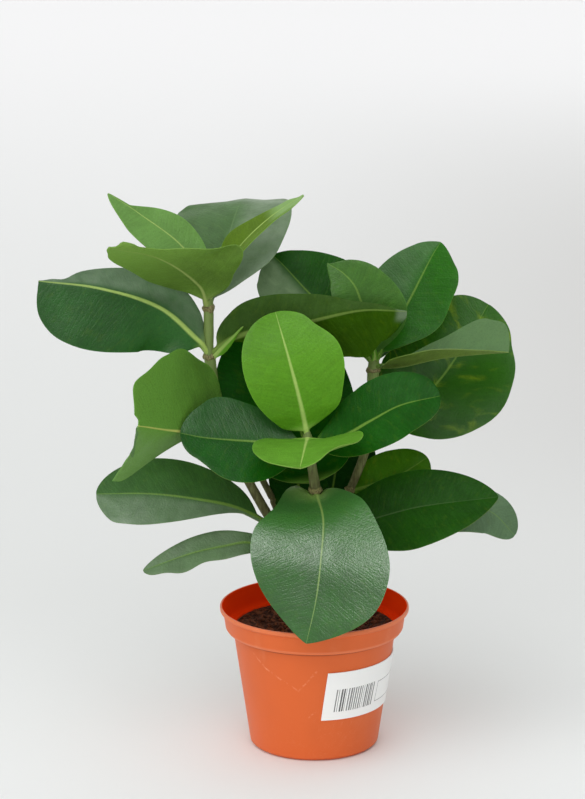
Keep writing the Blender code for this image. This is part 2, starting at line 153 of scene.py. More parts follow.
class Graph:
    """The node graph of one material or world."""

    def __init__(self, name: str, of_world: bool = False) -> None:
        """Starts a material with one Principled shader, or a world with its background."""
        self.owner = (bpy.data.worlds if of_world else bpy.data.materials).new(name)
        self.owner.use_nodes = True
        self.tree = self.owner.node_tree
        self.shader = self.tree.nodes["Background" if of_world else "Principled BSDF"]

    def node(
        self, kind: str, settings: dict | None = None, sockets: dict | None = None, output: int | str = 0
    ) -> Wire:
        """Adds a node of any type.

        Args:
            kind: Blender's name of the node type.
            settings: Properties of the node, which are set before the sockets.
            sockets: Values or wires by the socket's place, identifier or name.
            output: Which output to give back.

        Returns:
            That output as a wire.
        """
        made = self.tree.nodes.new(kind)
        for name, value in (settings or {}).items():
            setattr(made, name, value)
        for key, value in (sockets or {}).items():
            self.feed(made, key, value)
        return Wire(self, made.outputs[output])

    def feed(self, node: bpy.types.Node, key: int | str, value: "Wire | float | Sequence[float]") -> None:
        """Sets or links one input.

        Args:
            node: The node to feed.
            key: The input's place, identifier or name.
            value: A wire to link, or the value to set.
        """
        if isinstance(key, int):
            socket = node.inputs[key]
        else:
            socket = next(s for s in node.inputs if key in (s.identifier, s.name))
        if isinstance(value, Wire):
            self.tree.links.new(value.socket, socket)
        else:
            socket.default_value = value

    def finish(self, **sockets: "Wire | float | Sequence[float]") -> bpy.types.Material | bpy.types.World:
        """Feeds the shader's own sockets, named with _ for a space, and gives back the material or world."""
        for name, value in sockets.items():
            self.feed(self.shader, name.replace("_", " "), value)
        return self.owner

    def mix(self, share: "Wire | float", first: "Wire | Colour", second: "Wire | Colour") -> Wire:
        """Mixes two colours by a share from 0, the first, to 1, the second."""
        settings = {"data_type": "RGBA"}
        sockets = {"Factor_Float": share, "A_Color": first, "B_Color": second}
        return self.node("ShaderNodeMix", settings, sockets, "Result")

    def place(self) -> Wire:
        """The point of the surface, in metres, as a vector."""
        return self.node("ShaderNodeTexCoord", output="Object")

    def stretched(self, vector: Wire, scale: Point, turn: Point = (0, 0, 0)) -> Wire:
        """The vector stretched by scale and turned by angles in radians."""
        sockets = {"Vector": vector, "Scale": scale, "Rotation": turn}
        return self.node("ShaderNodeMapping", sockets=sockets)

    def axes(self, vector: Wire) -> tuple[Wire, Wire, Wire]:
        """The three numbers of a vector."""
        split = self.node("ShaderNodeSeparateXYZ", sockets={"Vector": vector})
        outputs = split.socket.node.outputs
        return tuple(Wire(self, outputs[i]) for i in range(3))

    def vector(self, x: "Wire | float", y: "Wire | float", z: "Wire | float" = 0.0) -> Wire:
        """A vector of three numbers."""
        return self.node("ShaderNodeCombineXYZ", sockets={"X": x, "Y": y, "Z": z})

    def grain(self, vector: Wire, scale: float, detail: float = 3.0, warp: float = 0.0) -> Wire:
        """Soft noise between 0 and 1."""
        sockets = {"Vector": vector, "Scale": scale, "Detail": detail, "Distortion": warp}
        return self.node("ShaderNodeTexNoise", sockets=sockets)

    def cells(self, vector: Wire, scale: float, output: str = "Distance") -> Wire:
        """Cell noise: the distance to the nearest cell's centre, or its colour."""
        return self.node("ShaderNodeTexVoronoi", sockets={"Vector": vector, "Scale": scale}, output=output)

    def bump(self, height: Wire, depth: float, strength: float = 1.0, under: Wire | None = None) -> Wire:
        """A bumped normal; depth is in metres, and under is a coarser bump below it."""
        sockets = {"Height": height, "Distance": depth, "Strength": strength}
        if under:
            sockets["Normal"] = under
        return self.node("ShaderNodeBump", sockets=sockets)


# Finishes


class Face(Enum):
    """The two faces of a leaf."""

    UPPER = "upper"
    UNDER = "under"


@dataclass(frozen=True)
class LeafFinish:
    """The greens of a leaf: its two faces, midrib, sheen and marks."""

    upper: Colour
    under: Colour = tone(88, 112, 40)
    rib: Colour = tone(120, 158, 62)
    under_rib: Colour = tone(120, 146, 70)
    # The midrib's half width at the foot, in millimetres, and how much it fades towards the tip
    rib_width: float = 1.1
    rib_fade: float = 0.55
    rough: float = 0.42
    under_rough: float = 0.5
    shine: float = 0.22
    # Yellow blotches
    mottles: float = 0.09
    mottle: Colour = tone(110, 140, 20)
    mottle_grain: float = 1.0
    patch_depth: float = 0.4
    streaks: float = 0.4
    # Painted light: how much paler the tip and the foot are
    tip_light: float = 0.0
    foot_light: float = 0.0
    # Painted grey-green sheen on the tip from this share of the length on, and on the left and the right half
    tip_wax: float = 0.0
    wax_start: float = 0.935
    bloom: Pair = (0.0, 0.0)
    wax: Colour = tone(146, 162, 140)
    # Side veins: how far they slant, the millimetres from one to the next, how far they wander and half
    # their width as shares of that, where they start in millimetres from the midrib, and where they end as
    # a share of the half width
    vein_slope: float = 0.5
    vein_gap: float = 3.4
    vein_wander: float = 1.6
    vein_half: float = 0.2
    vein_start: Pair = (1.0, 6.0)
    vein_end: Pair = (0.75, 0.97)
    # Noise values between which each pattern comes in
    patch_span: Pair = (0.35, 0.7)
    cloud_span: Pair = (0.38, 0.66)
    streak_span: Pair = (0.4, 0.8)
    spot_span: Pair = (0.5, 0.74)
    grain_light: Pair = (0.55, 0.75)
    grain_dark: Pair = (0.3, 0.48)
    # Shares of the length, of the half width and of the whole width between which each comes in
    tip_span: Pair = (0.25, 0.8)
    foot_span: Pair = (0.15, 0.6)
    bone_span: Pair = (0.02, 0.12)
    margin: Pair = (0.97, 1.0)
    left_half: Pair = (0.34, 0.54)
    right_half: Pair = (0.46, 0.66)
    # Millimetres from the midrib over which the tip's painted sheen ends
    wax_end: Pair = (3.0, 8.5)
    # How often streaks and blotches repeat, from vein to vein and to a millimetre away from the midrib
    streak_repeat: Pair = (2.3, 0.045)
    spot_repeat: Pair = (1.1, 0.16)
    # How much darker and paler than the skin its patches and streaks are
    deep_share: float = 0.62
    pale_share: float = 1.5
    # How strongly each pattern shows
    patch_show: float = 1.6
    streak_show: float = 0.5
    vein_show: float = 0.16
    pale_grain_show: float = 0.22
    dark_grain_show: float = 0.3
    bloom_show: float = 1.3
    margin_show: float = 0.4
    bone_show: float = 0.8
    rib_show: float = 0.95
    # What the clouds change a strength by: its value without clouds, and what they add or take away
    fleck_clouds: Pair = (0.4, 1.2)
    bloom_clouds: Pair = (1.15, 0.9)
    # Midrib: how it thins, its half width at the tip in millimetres, how much wider it is on the underside,
    # and its soft border as shares of the half width
    rib_thinning: float = 0.9
    rib_tip: float = 0.2
    under_rib_wider: float = 1.5
    rib_border: Pair = (0.35, 1.45)
    # What pores, clouds and midrib add to the roughness, and veins, streaks and clouds to the relief
    pore_rough: float = 0.1
    cloud_rough: float = 0.25
    rib_rough: float = 0.08
    vein_rise: float = -0.1
    streak_rise: float = 0.25
    cloud_rise: float = 0.4
    # Grains to a metre
    wander_grain: float = 60.0
    patch_grain: float = 34.0
    cloud_grain: float = 130.0
    leather_grain: float = 900.0
    pore_grain: float = 1500.0
    # Depths of the bumps in metres
    vein_relief: float = 0.0005
    leather_relief: float = 0.0003

    def material(self, name: str, face: Face) -> bpy.types.Material:
        """The leather-like skin of one face, with midrib, side veins, streaks and patches.

        Args:
            name: The material's name.
            face: Which face of the leaf it covers.

        Returns:
            The material.
        """
        graph = Graph(name)
        upper = face is Face.UPPER
        laid = graph.node("ShaderNodeUVMap", {"uv_map": "millimetres"})
        shape = graph.node("ShaderNodeUVMap", {"uv_map": "shape"})
        over, along, _ = graph.axes(laid)
        across, share, _ = graph.axes(shape)
        reach = abs((over - 0.5) * UV_SPAN)
        length = along * UV_SPAN
        edge = abs((across - 0.5) * 2.0)
        point = graph.place()
        wander = graph.grain(point, self.wander_grain, 2.0) - 0.5
        # Side veins leave the midrib aslant and fade before the edge
        phase = (length - reach * self.vein_slope) / self.vein_gap + wander * self.vein_wander
        line = abs(phase.fraction() - 0.5)
        veins = (1.0 - line.rise(0.0, self.vein_half)) * (1.0 - edge.rise(*self.vein_end))
        veins = veins * reach.rise(*self.vein_start)
        brushed = graph.vector(phase * self.streak_repeat[0], reach * self.streak_repeat[1], over)
        brushed = graph.grain(brushed, 1.0, 4.0, 0.3)
        patches = graph.grain(point, self.patch_grain, 3.0, 0.6)
        clouds = graph.grain(point, self.cloud_grain, 4.0, 0.4)
        leather = graph.grain(point, self.leather_grain)
        pores = graph.cells(point, self.pore_grain)
        skin = self.upper if upper else self.under
        deep = shaded(skin, self.deep_share)
        pale = shaded(skin, self.pale_share, 0.01)
        # Dark patches and clouds, then pale streaks between the side veins
        colour = graph.mix(patches.rise(*self.patch_span) * self.patch_depth * self.patch_show, skin, deep)
        colour = graph.mix(clouds.rise(*self.cloud_span) * self.patch_depth, colour, deep)
        colour = graph.mix(brushed.rise(*self.streak_span) * self.streaks * self.streak_show, colour, pale)
        colour = graph.mix(veins * self.streaks * self.vein_show, colour, pale)
        # Painted light: some leaves are paler towards the tip or the foot
        colour = graph.mix(share.rise(*self.tip_span) * self.tip_light, colour, pale)
        colour = graph.mix((1.0 - share.rise(*self.foot_span)) * self.foot_light, colour, pale)
        # Blotches drawn out along the side veins, and the fine leathery grain
        spots = graph.vector(phase * self.spot_repeat[0], reach * self.spot_repeat[1], 3.0)
        spots = graph.grain(spots, self.mottle_grain, 6.0, 0.4)
        flecks = spots.rise(*self.spot_span) * (self.fleck_clouds[0] + clouds * self.fleck_clouds[1])
        colour = graph.mix(flecks * self.mottles, colour, self.mottle)
        colour = graph.mix(leather.rise(*self.grain_light) * self.pale_grain_show, colour, pale)
        colour = graph.mix((1.0 - leather.rise(*self.grain_dark)) * self.dark_grain_show, colour, deep)
        # Painted grey-green sheen on one half or both of some leaves, and on the tips of two
        halves = (1.0 - across.rise(*self.left_half), across.rise(*self.right_half))
        bloom = sum(half * (amount * self.bloom_show) for amount, half in zip(self.bloom, halves))
        bloom = bloom * (self.bloom_clouds[0] - clouds * self.bloom_clouds[1])
        colour = graph.mix(bloom, colour, self.wax)
        curl = share.rise(self.wax_start, (1.0 + self.wax_start) / 2) * (1.0 - reach.rise(*self.wax_end))
        colour = graph.mix(curl * self.tip_wax, colour, self.wax)
        # Midrib, broad at the foot, thin and faint at the tip
        broad = self.rib_width if upper else self.rib_width * self.under_rib_wider
        half = (1.0 - share) ** self.rib_thinning * broad + self.rib_tip
        inner, outer = self.rib_border
        rib = 1.0 - (reach + wander * 0.5).rise(half * inner, half * outer)
        foot = 1.0 - share.rise(*self.bone_span)
        bone = self.rib if upper else self.under_rib
        colour = graph.mix(edge.rise(*self.margin) * self.margin_show, colour, pale)
        colour = graph.mix(foot * self.bone_show, colour, bone)
        colour = graph.mix(rib * (self.rib_show - share * self.rib_fade), colour, bone)
        rough = self.rough if upper else self.under_rough
        rough = rough + (pores - 0.3) * self.pore_rough + (clouds - 0.5) * self.cloud_rough
        rough = rough + rib * self.rib_rough
        relief = veins * self.vein_rise + brushed * self.streak_rise + clouds * self.cloud_rise
        normal = graph.bump(relief, self.vein_relief, 0.7)
        normal = graph.bump(leather, self.leather_relief, 0.8, normal)
        return graph.finish(Base_Color=colour, Roughness=rough, Normal=normal, Specular_IOR_Level=self.shine)


@dataclass(frozen=True)
class WoodFinish:
    """Young wood that runs from brown below to green above."""

    bark: Colour = tone(88, 86, 50)
    pale: Colour = tone(122, 124, 80)
    green: Colour = tone(124, 148, 78)
    crack: Colour = tone(58, 50, 30)
    # Heights in millimetres between which the bark turns green, give or take uneven
    green_from: float = 176.0
    green_to: float = 262.0
    uneven: float = 40.0
    # Noise values between which pale fibres and dark cracks come in
    pale_span: Pair = (0.4, 0.7)
    crack_span: Pair = (0.25, 0.45)
    # Grains to a metre, and the bump's depth in metres
    fibre_grain: float = 900.0
    patch_grain: float = 160.0
    relief: float = 0.0003
    # The fibres' grains to a metre upwards, as a share of those across
    fibre_upright: float = 0.16
    # How strongly each tone shows, and what the fibres add to the roughness
    pale_show: float = 0.7
    green_show: float = 0.9
    crack_show: float = 0.4
    rough: float = 0.52
    fibre_rough: float = 0.2
    shine: float = 0.25

    def material(self, name: str) -> bpy.types.Material:
        """Ribbed bark with pale streaks along the stem."""
        graph = Graph(name)
        point = graph.place()
        height = graph.axes(point)[2] / MM
        fibres = graph.grain(graph.stretched(point, (1.0, 1.0, self.fibre_upright)), self.fibre_grain, 4.0)
        patches = graph.grain(point, self.patch_grain)
        bark = graph.mix(fibres.rise(*self.pale_span) * self.pale_show, self.bark, self.pale)
        young = (height + patches * self.uneven).rise(self.green_from, self.green_to)
        colour = graph.mix(young * self.green_show, bark, self.green)
        colour = graph.mix((1.0 - fibres.rise(*self.crack_span)) * self.crack_show, colour, self.crack)
        return graph.finish(
            Base_Color=colour, Roughness=self.rough + fibres * self.fibre_rough,
            Normal=graph.bump(fibres, self.relief, 0.7), Specular_IOR_Level=self.shine,
        )


@dataclass(frozen=True)
class CorkFinish:
    """The brown, cracked rings where leaves have stood."""

    light: Colour = tone(134, 130, 78)
    dark: Colour = tone(84, 68, 40)
    light_span: Pair = (0.28, 0.56)
    # Grains to a metre, and the bump's depth in metres
    crack_grain: float = 1100.0
    relief: float = 0.0004
    # The cracks' grains to a metre upwards, as a share of those across
    crack_upright: float = 0.6
    rough: float = 0.8

    def material(self, name: str) -> bpy.types.Material:
        """Cork with small dark cracks."""
        graph = Graph(name)
        point = graph.place()
        cracks = graph.grain(graph.stretched(point, (1.0, 1.0, self.crack_upright)), self.crack_grain, 5.0)
        colour = graph.mix(cracks.rise(*self.light_span), self.dark, self.light)
        normal = graph.bump(cracks, self.relief, 0.8)
        return graph.finish(Base_Color=colour, Roughness=self.rough, Normal=normal)


@dataclass(frozen=True)
class PlasticFinish:
    """The pot's orange plastic, scuffed by handling, with painted shade and painted highlights on its collar
    and rim, and a painted redder inside.
    """

    colour: Colour = tone(227, 103, 40)
    # Pale scuffs and scratches, and also the painted highlights on the rolled edge and the rim bead
    worn: Colour = tone(240, 150, 106)
    # The inner face's redder, deeper colour is painted shade and painted bounce light on the same plastic
    inside: Colour = tone(255, 62, 12)
    # Painted shade under the collar's step
    grime: Colour = tone(120, 48, 22)
    deep_share: float = 0.9
    # Noise values between which each pattern comes in
    flow_span: Pair = (0.3, 0.75)
    scuff_span: Pair = (0.62, 0.8)
    mist_span: Pair = (0.45, 0.7)
    break_span: Pair = (0.4, 0.62)
    hair_half: float = 0.012
    # How strongly each pattern shows
    flow_show: float = 0.5
    scuff_show: float = 0.25
    scratch_show: float = 0.5
    hair_show: float = 0.18
    edge_show: float = 0.3
    bead_show: float = 0.3
    grime_show: float = 0.75
    # Roughness, and what clouds and fine grain add to it
    rough: float = 0.42
    cloud_rough: float = 0.12
    grain_rough: float = 0.12
    shine: float = 0.4
    # The clouds' grains to a metre upwards, as a share of those across
    cloud_upright: float = 0.45
    # Grains to a metre
    cloud_grain: float = 38.0
    mist_grain: float = 9.0
    hair_grain: float = 70.0
    jitter_grain: float = 240.0
    dimple_grain: float = 300.0
    break_grain: float = 420.0
    fine_grain: float = 2600.0
    # Depths of the bumps in metres
    dimple_relief: float = 0.00006
    fine_relief: float = 0.00003
    # Heights in millimetres between which a band shows, and over which it fades in and out: painted shade
    # under the collar's step, a painted highlight on the rolled edge above it, and a painted highlight on the
    # rim bead
    step_line: tuple[float, float, float, float] = (73.0, 74.2, 75.1, 75.5)
    rolled_edge: tuple[float, float, float, float] = (75.3, 75.9, 76.8, 78.0)
    rim_bead: Pair = (87.6, 88.6)
    # Scratches on the front as two ends, each degrees round from the front and height. The wall has this
    # radius there, and a scratch wanders by jitter, fades over its ends and has soft borders, in millimetres.
    radius: float = 46.0
    jitter: float = 1.6
    scratch_end: float = 2.0
    scratch_borders: Pair = (0.1, 0.9)
    scratches: tuple[tuple[Pair, Pair], ...] = (
        ((-13.0, 48.0), (2.0, 63.5)),
        ((-39.0, 62.0), (-12.0, 49.0)),
        ((-50.0, 70.0), (-36.0, 60.0)),
        ((-6.0, 30.0), (1.0, 35.0)),
    )

    def material(self, name: str, inner: bool = False) -> bpy.types.Material:
        """Moulded plastic with fine grain, faint flow marks and pale scuffs, with painted shade under the
        collar's step and painted highlights on the rolled edge and the rim bead.

        Args:
            name: The material's name.
            inner: True for the inner face, which is redder and deeper in colour as painted shade and painted
                bounce light, and not scuffed.

        Returns:
            The material.
        """
        graph = Graph(name)
        point = graph.place()
        cloud = graph.stretched(point, (1.0, 1.0, self.cloud_upright))
        cloud = graph.grain(cloud, self.cloud_grain, 4.0, 0.5)
        mist = graph.grain(point, self.mist_grain, 2.0)
        grain = graph.grain(point, self.fine_grain, 2.0)
        base = self.inside if inner else self.colour
        deep = shaded(base, self.deep_share)
        colour = graph.mix(cloud.rise(*self.flow_span) * self.flow_show, base, deep)
        wear = cloud.rise(*self.scuff_span) * self.scuff_show
        if not inner:
            x, y, z = graph.axes(point)
            turn = x.maths("ARCTAN2", y * -1.0) * math.degrees(1.0)
            height = z / MM
            jitter = (graph.grain(point, self.jitter_grain, 2.0) - 0.5) * self.jitter
            marks = sum(self.scratch(turn, height, jitter, *ends) for ends in self.scratches)
            breaks = graph.grain(point, self.break_grain, 2.0).rise(*self.break_span)
            turned = graph.stretched(point, (1.0, 1.0, 1.0), (0.5, 0.4, 0.3))
            hair = graph.grain(turned, self.hair_grain, 5.0, 2.5)
            hair = 1.0 - abs(hair - 0.5).rise(0.0, self.hair_half)
            wear = wear + marks * breaks * self.scratch_show
            wear = wear + hair * mist.rise(*self.mist_span) * self.hair_show
            # Painted highlights on the rolled edge above the step and on the rim bead
            wear = wear + self.band(height, self.rolled_edge) * self.edge_show
            wear = wear + height.rise(*self.rim_bead) * self.bead_show
            # Painted shade in a band under the collar's step
            colour = graph.mix(self.band(height, self.step_line) * self.grime_show, colour, self.grime)
        colour = graph.mix(wear, colour, self.worn)
        rough = self.rough + cloud * self.cloud_rough + (grain - 0.5) * self.grain_rough
        normal = graph.bump(graph.grain(point, self.dimple_grain), self.dimple_relief, 0.5)
        normal = graph.bump(grain, self.fine_relief, 0.5, normal)
        shine = 0.0 if inner else self.shine
        return graph.finish(Base_Color=colour, Roughness=rough, Normal=normal, Specular_IOR_Level=shine)

    def band(self, height: Wire, marks: tuple[float, float, float, float]) -> Wire:
        """1 between the two middle heights, fading to 0 at the outer two."""
        return height.rise(*marks[:2]) * (1.0 - height.rise(*marks[2:]))

    def scratch(self, turn: Wire, height: Wire, jitter: Wire, first: Pair, second: Pair) -> Wire:
        """A straight pale scratch on the pot's wall.

        Args:
            turn: Degrees round from the front.
            height: Height in millimetres.
            jitter: What the line wanders by, in millimetres.
            first: One end, as degrees and height.
            second: The other end.

        Returns:
            1 on the scratch and 0 elsewhere.
        """
        arc = math.radians(1.0) * self.radius
        run = ((second[0] - first[0]) * arc, second[1] - first[1])
        length = math.hypot(*run)
        ahead = (run[0] / length, run[1] / length)
        x = (turn - first[0]) * arc
        z = height - first[1]
        along = x * ahead[0] + z * ahead[1]
        beside = abs(x * ahead[1] - z * ahead[0] + jitter)
        ends = along.rise(0.0, self.scratch_end) * (1.0 - along.rise(length - self.scratch_end, length))
        return (1.0 - beside.rise(*self.scratch_borders)) * ends


@dataclass(frozen=True)
class SoilFinish:
    """Peaty potting soil."""

    dark: Colour = tone(54, 28, 15)
    brown: Colour = tone(122, 68, 39)
    light: Colour = tone(134, 108, 100)
    # Noise values between which the browns and the lights come in
    brown_span: Pair = (0.1, 0.95)
    light_span: Pair = (0.58, 0.75)
    bright_span: Pair = (0.55, 0.8)
    # Grains to a metre, and the bump's depth in metres
    crumb_grain: float = 420.0
    fine_grain: float = 1500.0
    relief: float = 0.0006
    brown_show: float = 0.7
    light_show: float = 0.6
    rough: float = 0.92
    shine: float = 0.15

    def material(self, name: str, lighter: float = 0.0) -> bpy.types.Material:
        """Crumbs of mixed browns with a few greyish lights.

        Args:
            name: The material's name.
            lighter: Share by which the crumbs are lighter than the ground.

        Returns:
            The material.
        """
        graph = Graph(name)
        point = graph.place()
        crumbs, bright, _ = graph.axes(graph.cells(point, self.crumb_grain, "Color"))
        fine = graph.grain(point, self.fine_grain, 4.0)
        colour = graph.mix(crumbs.rise(*self.brown_span) * self.brown_show + lighter, self.dark, self.brown)
        lights = fine.rise(*self.light_span) * bright.rise(*self.bright_span)
        colour = graph.mix(lights * (self.light_show + lighter), colour, self.light)
        return graph.finish(
            Base_Color=colour, Roughness=self.rough, Normal=graph.bump(fine, self.relief, 0.9),
            Specular_IOR_Level=self.shine,
        )


@dataclass(frozen=True)
class PaperFinish:
    """White label paper with a plain pattern of upright bars and a thin frame, and no letters or digits."""

    paper: Colour = tone(252, 253, 251)
    shade: Colour = tone(222, 220, 214)
    ink: Colour = tone(38, 38, 40)
    # Grains to a metre, and the bump's depth in metres
    fibre_grain: float = 1600.0
    relief: float = 0.00003
    # Places of the pattern as shares of the label's length and height
    bars_from: float = 0.1
    bars_to: float = 0.5
    bars_bottom: float = 0.17
    bars_top: float = 0.64
    bar_count: float = 18.0
    box_from: float = 0.535
    box_to: float = 0.93
    box_bottom: float = 0.2
    box_top: float = 0.62
    line_across: float = 0.007
    line_up: float = 0.016
    # Least width of a bar and what chance adds, the same for the ink's strength, and how often that changes
    # over the label's length and height
    bar_widths: Pair = (0.15, 0.55)
    ink_show: Pair = (0.45, 0.8)
    ink_changes: Pair = (9.0, 0.6)
    frame_show: float = 0.6
    fibre_show: float = 0.08
    rough: float = 0.45

    def material(self, name: str) -> bpy.types.Material:
        """Printed paper; the pattern follows the label's own UV map."""
        graph = Graph(name)
        u, v, _ = graph.axes(graph.node("ShaderNodeUVMap", {"uv_map": "sheet"}))
        point = graph.place()
        fibres = graph.grain(point, self.fibre_grain, 4.0)
        place = (u - self.bars_from) / (self.bars_to - self.bars_from) * self.bar_count
        step = graph.node("ShaderNodeTexWhiteNoise", {"noise_dimensions": "1D"}, {"W": place.floor()})
        inside = self.framed(u, v, self.bars_from, self.bars_to, self.bars_bottom, self.bars_top)
        widths = self.bar_widths[0] + step * self.bar_widths[1]
        bars = (widths - place.fraction()).maths("GREATER_THAN", 0.0) * inside
        faded = graph.grain(graph.vector(u * self.ink_changes[0], v * self.ink_changes[1]), 1.0, 2.0)
        faded = self.ink_show[0] + faded * self.ink_show[1]
        outer = self.framed(u, v, self.box_from, self.box_to, self.box_bottom, self.box_top)
        left, right = self.box_from + self.line_across, self.box_to - self.line_across
        hollow = self.framed(u, v, left, right, self.box_bottom + self.line_up, self.box_top - self.line_up)
        print_mask = bars * faded + outer * (1.0 - hollow) * self.frame_show
        colour = graph.mix(fibres * self.fibre_show, self.paper, self.shade)
        colour = graph.mix(print_mask, colour, self.ink)
        normal = graph.bump(fibres, self.relief, 0.5)
        return graph.finish(Base_Color=colour, Roughness=self.rough, Normal=normal)

    def framed(self, u: Wire, v: Wire, left: float, right: float, bottom: float, top: float) -> Wire:
        """1 inside a box of the label and 0 elsewhere."""
        along = u.maths("GREATER_THAN", left) * u.maths("LESS_THAN", right)
        up = v.maths("GREATER_THAN", bottom) * v.maths("LESS_THAN", top)
        return along * up


@dataclass(frozen=True)
class FloorFinish:
    """The pale paper of the studio floor, with painted shade round the plant and a painted shadow behind its
    right side.
    """

    # Painted shade: the floor is darker near the plant than in front of it and far behind
    front: Colour = (0.83, 0.85, 0.84, 1.0)
    near: Colour = (0.73, 0.745, 0.73, 1.0)
    far: Colour = (0.88, 0.88, 0.88, 1.0)
    # Colour of the painted shadow, also used for the paper's tooth
    shadow: Colour = (0.62, 0.62, 0.605, 1.0)
    # Metres behind the plant, and to its right, between which one tone passes into the next
    near_span: Pair = (-0.1, 0.36)
    far_span: Pair = (0.4, 3.8)
    shadow_right: Pair = (-0.25, 0.45)
    shadow_from: Pair = (0.1, 0.9)
    shadow_to: Pair = (1.2, 3.2)
    tooth_grain: float = 400.0
    tooth_show: float = 0.04
    rough: float = 0.8

    def material(self, name: str) -> bpy.types.Material:
        """Smooth matt paper with painted shade: darker near the plant, lighter far behind, and a painted
        shadow behind the right side.
        """
        graph = Graph(name)
        point = graph.place()
        x, y, _ = graph.axes(point)
        tooth = graph.grain(point, self.tooth_grain, 2.0)
        colour = graph.mix(y.rise(*self.near_span), self.front, self.near)
        colour = graph.mix(y.rise(*self.far_span), colour, self.far)
        # A painted shadow behind the plant's right side
        greyer = x.rise(*self.shadow_right) * y.rise(*self.shadow_from) * (1.0 - y.rise(*self.shadow_to))
        colour = graph.mix(greyer, colour, self.shadow)
        colour = graph.mix(tooth * self.tooth_show, colour, self.shadow)
        return graph.finish(Base_Color=colour, Roughness=self.rough)


DARK = LeafFinish(upper=tone(26, 74, 20))
FRESH = LeafFinish(
    upper=tone(96, 164, 30), under=tone(112, 150, 60), rib=tone(178, 206, 112), under_rib=tone(160, 186, 100),
    rib_width=1.5, rib_fade=0.35, patch_depth=0.22,
)


def dyed(base: LeafFinish, upper: Colour, **changes: "float | Colour") -> LeafFinish:
    """A finish like another, with its own upper green and any other change."""
    return replace(base, upper=upper, **changes)


BEHIND = dyed(DARK, tone(38, 88, 32))
INMOST = dyed(DARK, tone(16, 70, 8), shine=0.1)


# Shaping that pieces share


def link_mesh(
    name: str, bm: bmesh.types.BMesh, materials: Iterable[bpy.types.Material], sharp: float = 60.0
) -> bpy.types.Object:
    """Turns a bmesh into a smooth-shaded object that stands at the origin.

    Args:
        name: The object's name.
        bm: The finished bmesh, which is freed.
        materials: Its materials in slot order.
        sharp: Edges that turn by more than this many degrees stay crisp.

    Returns:
        The object.
    """
    mesh = bpy.data.meshes.new(name)
    bm.to_mesh(mesh)
    bm.free()
    for material in materials:
        mesh.materials.append(material)
    mesh.shade_smooth()
    mesh.set_sharp_from_angle(angle=math.radians(sharp))
    obj = bpy.data.objects.new(name, mesh)
    bpy.context.scene.collection.objects.link(obj)
    return obj


def apply_modifiers(obj: bpy.types.Object) -> None:
    """Bakes the object's modifiers into its mesh."""
    graph = bpy.context.evaluated_depsgraph_get()
    graph.update()
    baked = bpy.data.meshes.new_from_object(obj.evaluated_get(graph))
    obj.modifiers.clear()
    obj.data = baked


def dressed(obj: bpy.types.Object, slot: str, *nodes: str) -> bpy.types.Object:
    """Makes a finished piece ride on the body and stand for its CAD nodes.

    Args:
        obj: The piece.
        slot: Not used.
        nodes: The CAD nodes that it stands for.

    Returns:
        The piece.
    """
    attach(obj, BODY)
    if nodes:
        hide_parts(*nodes)
    log.info("%s: %d faces", obj.name, len(obj.data.polygons))
    return obj


def spine_point(points: Sequence[Vector], share: float) -> Vector:
    """A point of the smooth curve through the points.

    Args:
        points: What the curve passes through.
        share: 0 at the first point and 1 at the last.

    Returns:
        The point, in the points' own unit.
    """
    chords = [(b - a).length for a, b in zip(points, points[1:])]
    total = sum(chords)
    knots = [sum(chords[:i]) / total for i in range(len(points))]
    near = max(i for i, knot in enumerate(knots[:-1]) if knot <= share or i == 0)
    full = [2 * points[0] - points[1], *points, 2 * points[-1] - points[-2]]
    marks = [-knots[1], *knots, 2 - knots[-2]]
    a, b, c, d = full[near : near + 4]
    ka, kb, kc, kd = marks[near : near + 4]
    step = kc - kb
    s = (share - kb) / step
    leave = (c - a) / (kc - ka) * step
    arrive = (d - b) / (kd - kb) * step
    start = (2 * s**3 - 3 * s**2 + 1) * b + (s**3 - 2 * s**2 + s) * leave
    return start + (3 * s**2 - 2 * s**3) * c + (s**3 - s**2) * arrive


def gather(bm: bmesh.types.BMesh, part: bmesh.types.BMesh) -> None:
    """Moves a small bmesh into a large one; operators run far faster on the small one alone."""
    mesh = bpy.data.meshes.new("part")
    part.to_mesh(mesh)
    part.free()
    bm.from_mesh(mesh)
    bpy.data.meshes.remove(mesh)


def tube(
    place: Callable[[float], Vector], radius: Callable[[float], float], rows: int, sides: int
) -> bmesh.types.BMesh:
    """A closed round tube along a path.

    Args:
        place: The path, from 0 to 1, in millimetres.
        radius: The tube's radius along the path.
        rows: Sections along the path.
        sides: Faces round it.

    Returns:
        The tube's bmesh.
    """
    bm = bmesh.new()
    bmesh.ops.create_grid(bm, x_segments=rows, y_segments=sides, size=0.5)
    step, steep = 0.01, 0.9
    for vertex in bm.verts:
        share, turn = vertex.co.x + 0.5, (vertex.co.y + 0.5) * 2 * math.pi
        ahead = (place(min(share + step, 1.0)) - place(max(share - step, 0.0))).normalized()
        aside = Vector((0, 0, 1)) if abs(ahead.z) < steep else Vector((0, 1, 0))
        side = ahead.cross(aside).normalized()
        up = side.cross(ahead)
        reach = radius(share)
        vertex.co = (place(share) + side * (reach * math.cos(turn)) + up * (reach * math.sin(turn))) * MM
    bmesh.ops.remove_doubles(bm, verts=bm.verts[:], dist=MERGED)
    rims = [edge for edge in bm.edges if edge.is_boundary]
    bmesh.ops.holes_fill(bm, edges=rims, sides=0)
    return bm


# Leaves


@dataclass(frozen=True)
class Touch:
    """A local change of one edge of a blade.

    It is strongest at share, spreads this far along the leaf, and moves the edge out, up and towards the tip
    by millimetres. A hem touch moves the edge just as far where the blade is narrow.
    """

    share: float
    spread: float
    wider: float = 0.0
    lift: float = 0.0
    push: float = 0.0
    hem: bool = False

    def strength(self, share: float) -> float:
        """How strong the change is at this share of the length."""
        return math.exp(-(((share - self.share) / self.spread) ** 2))


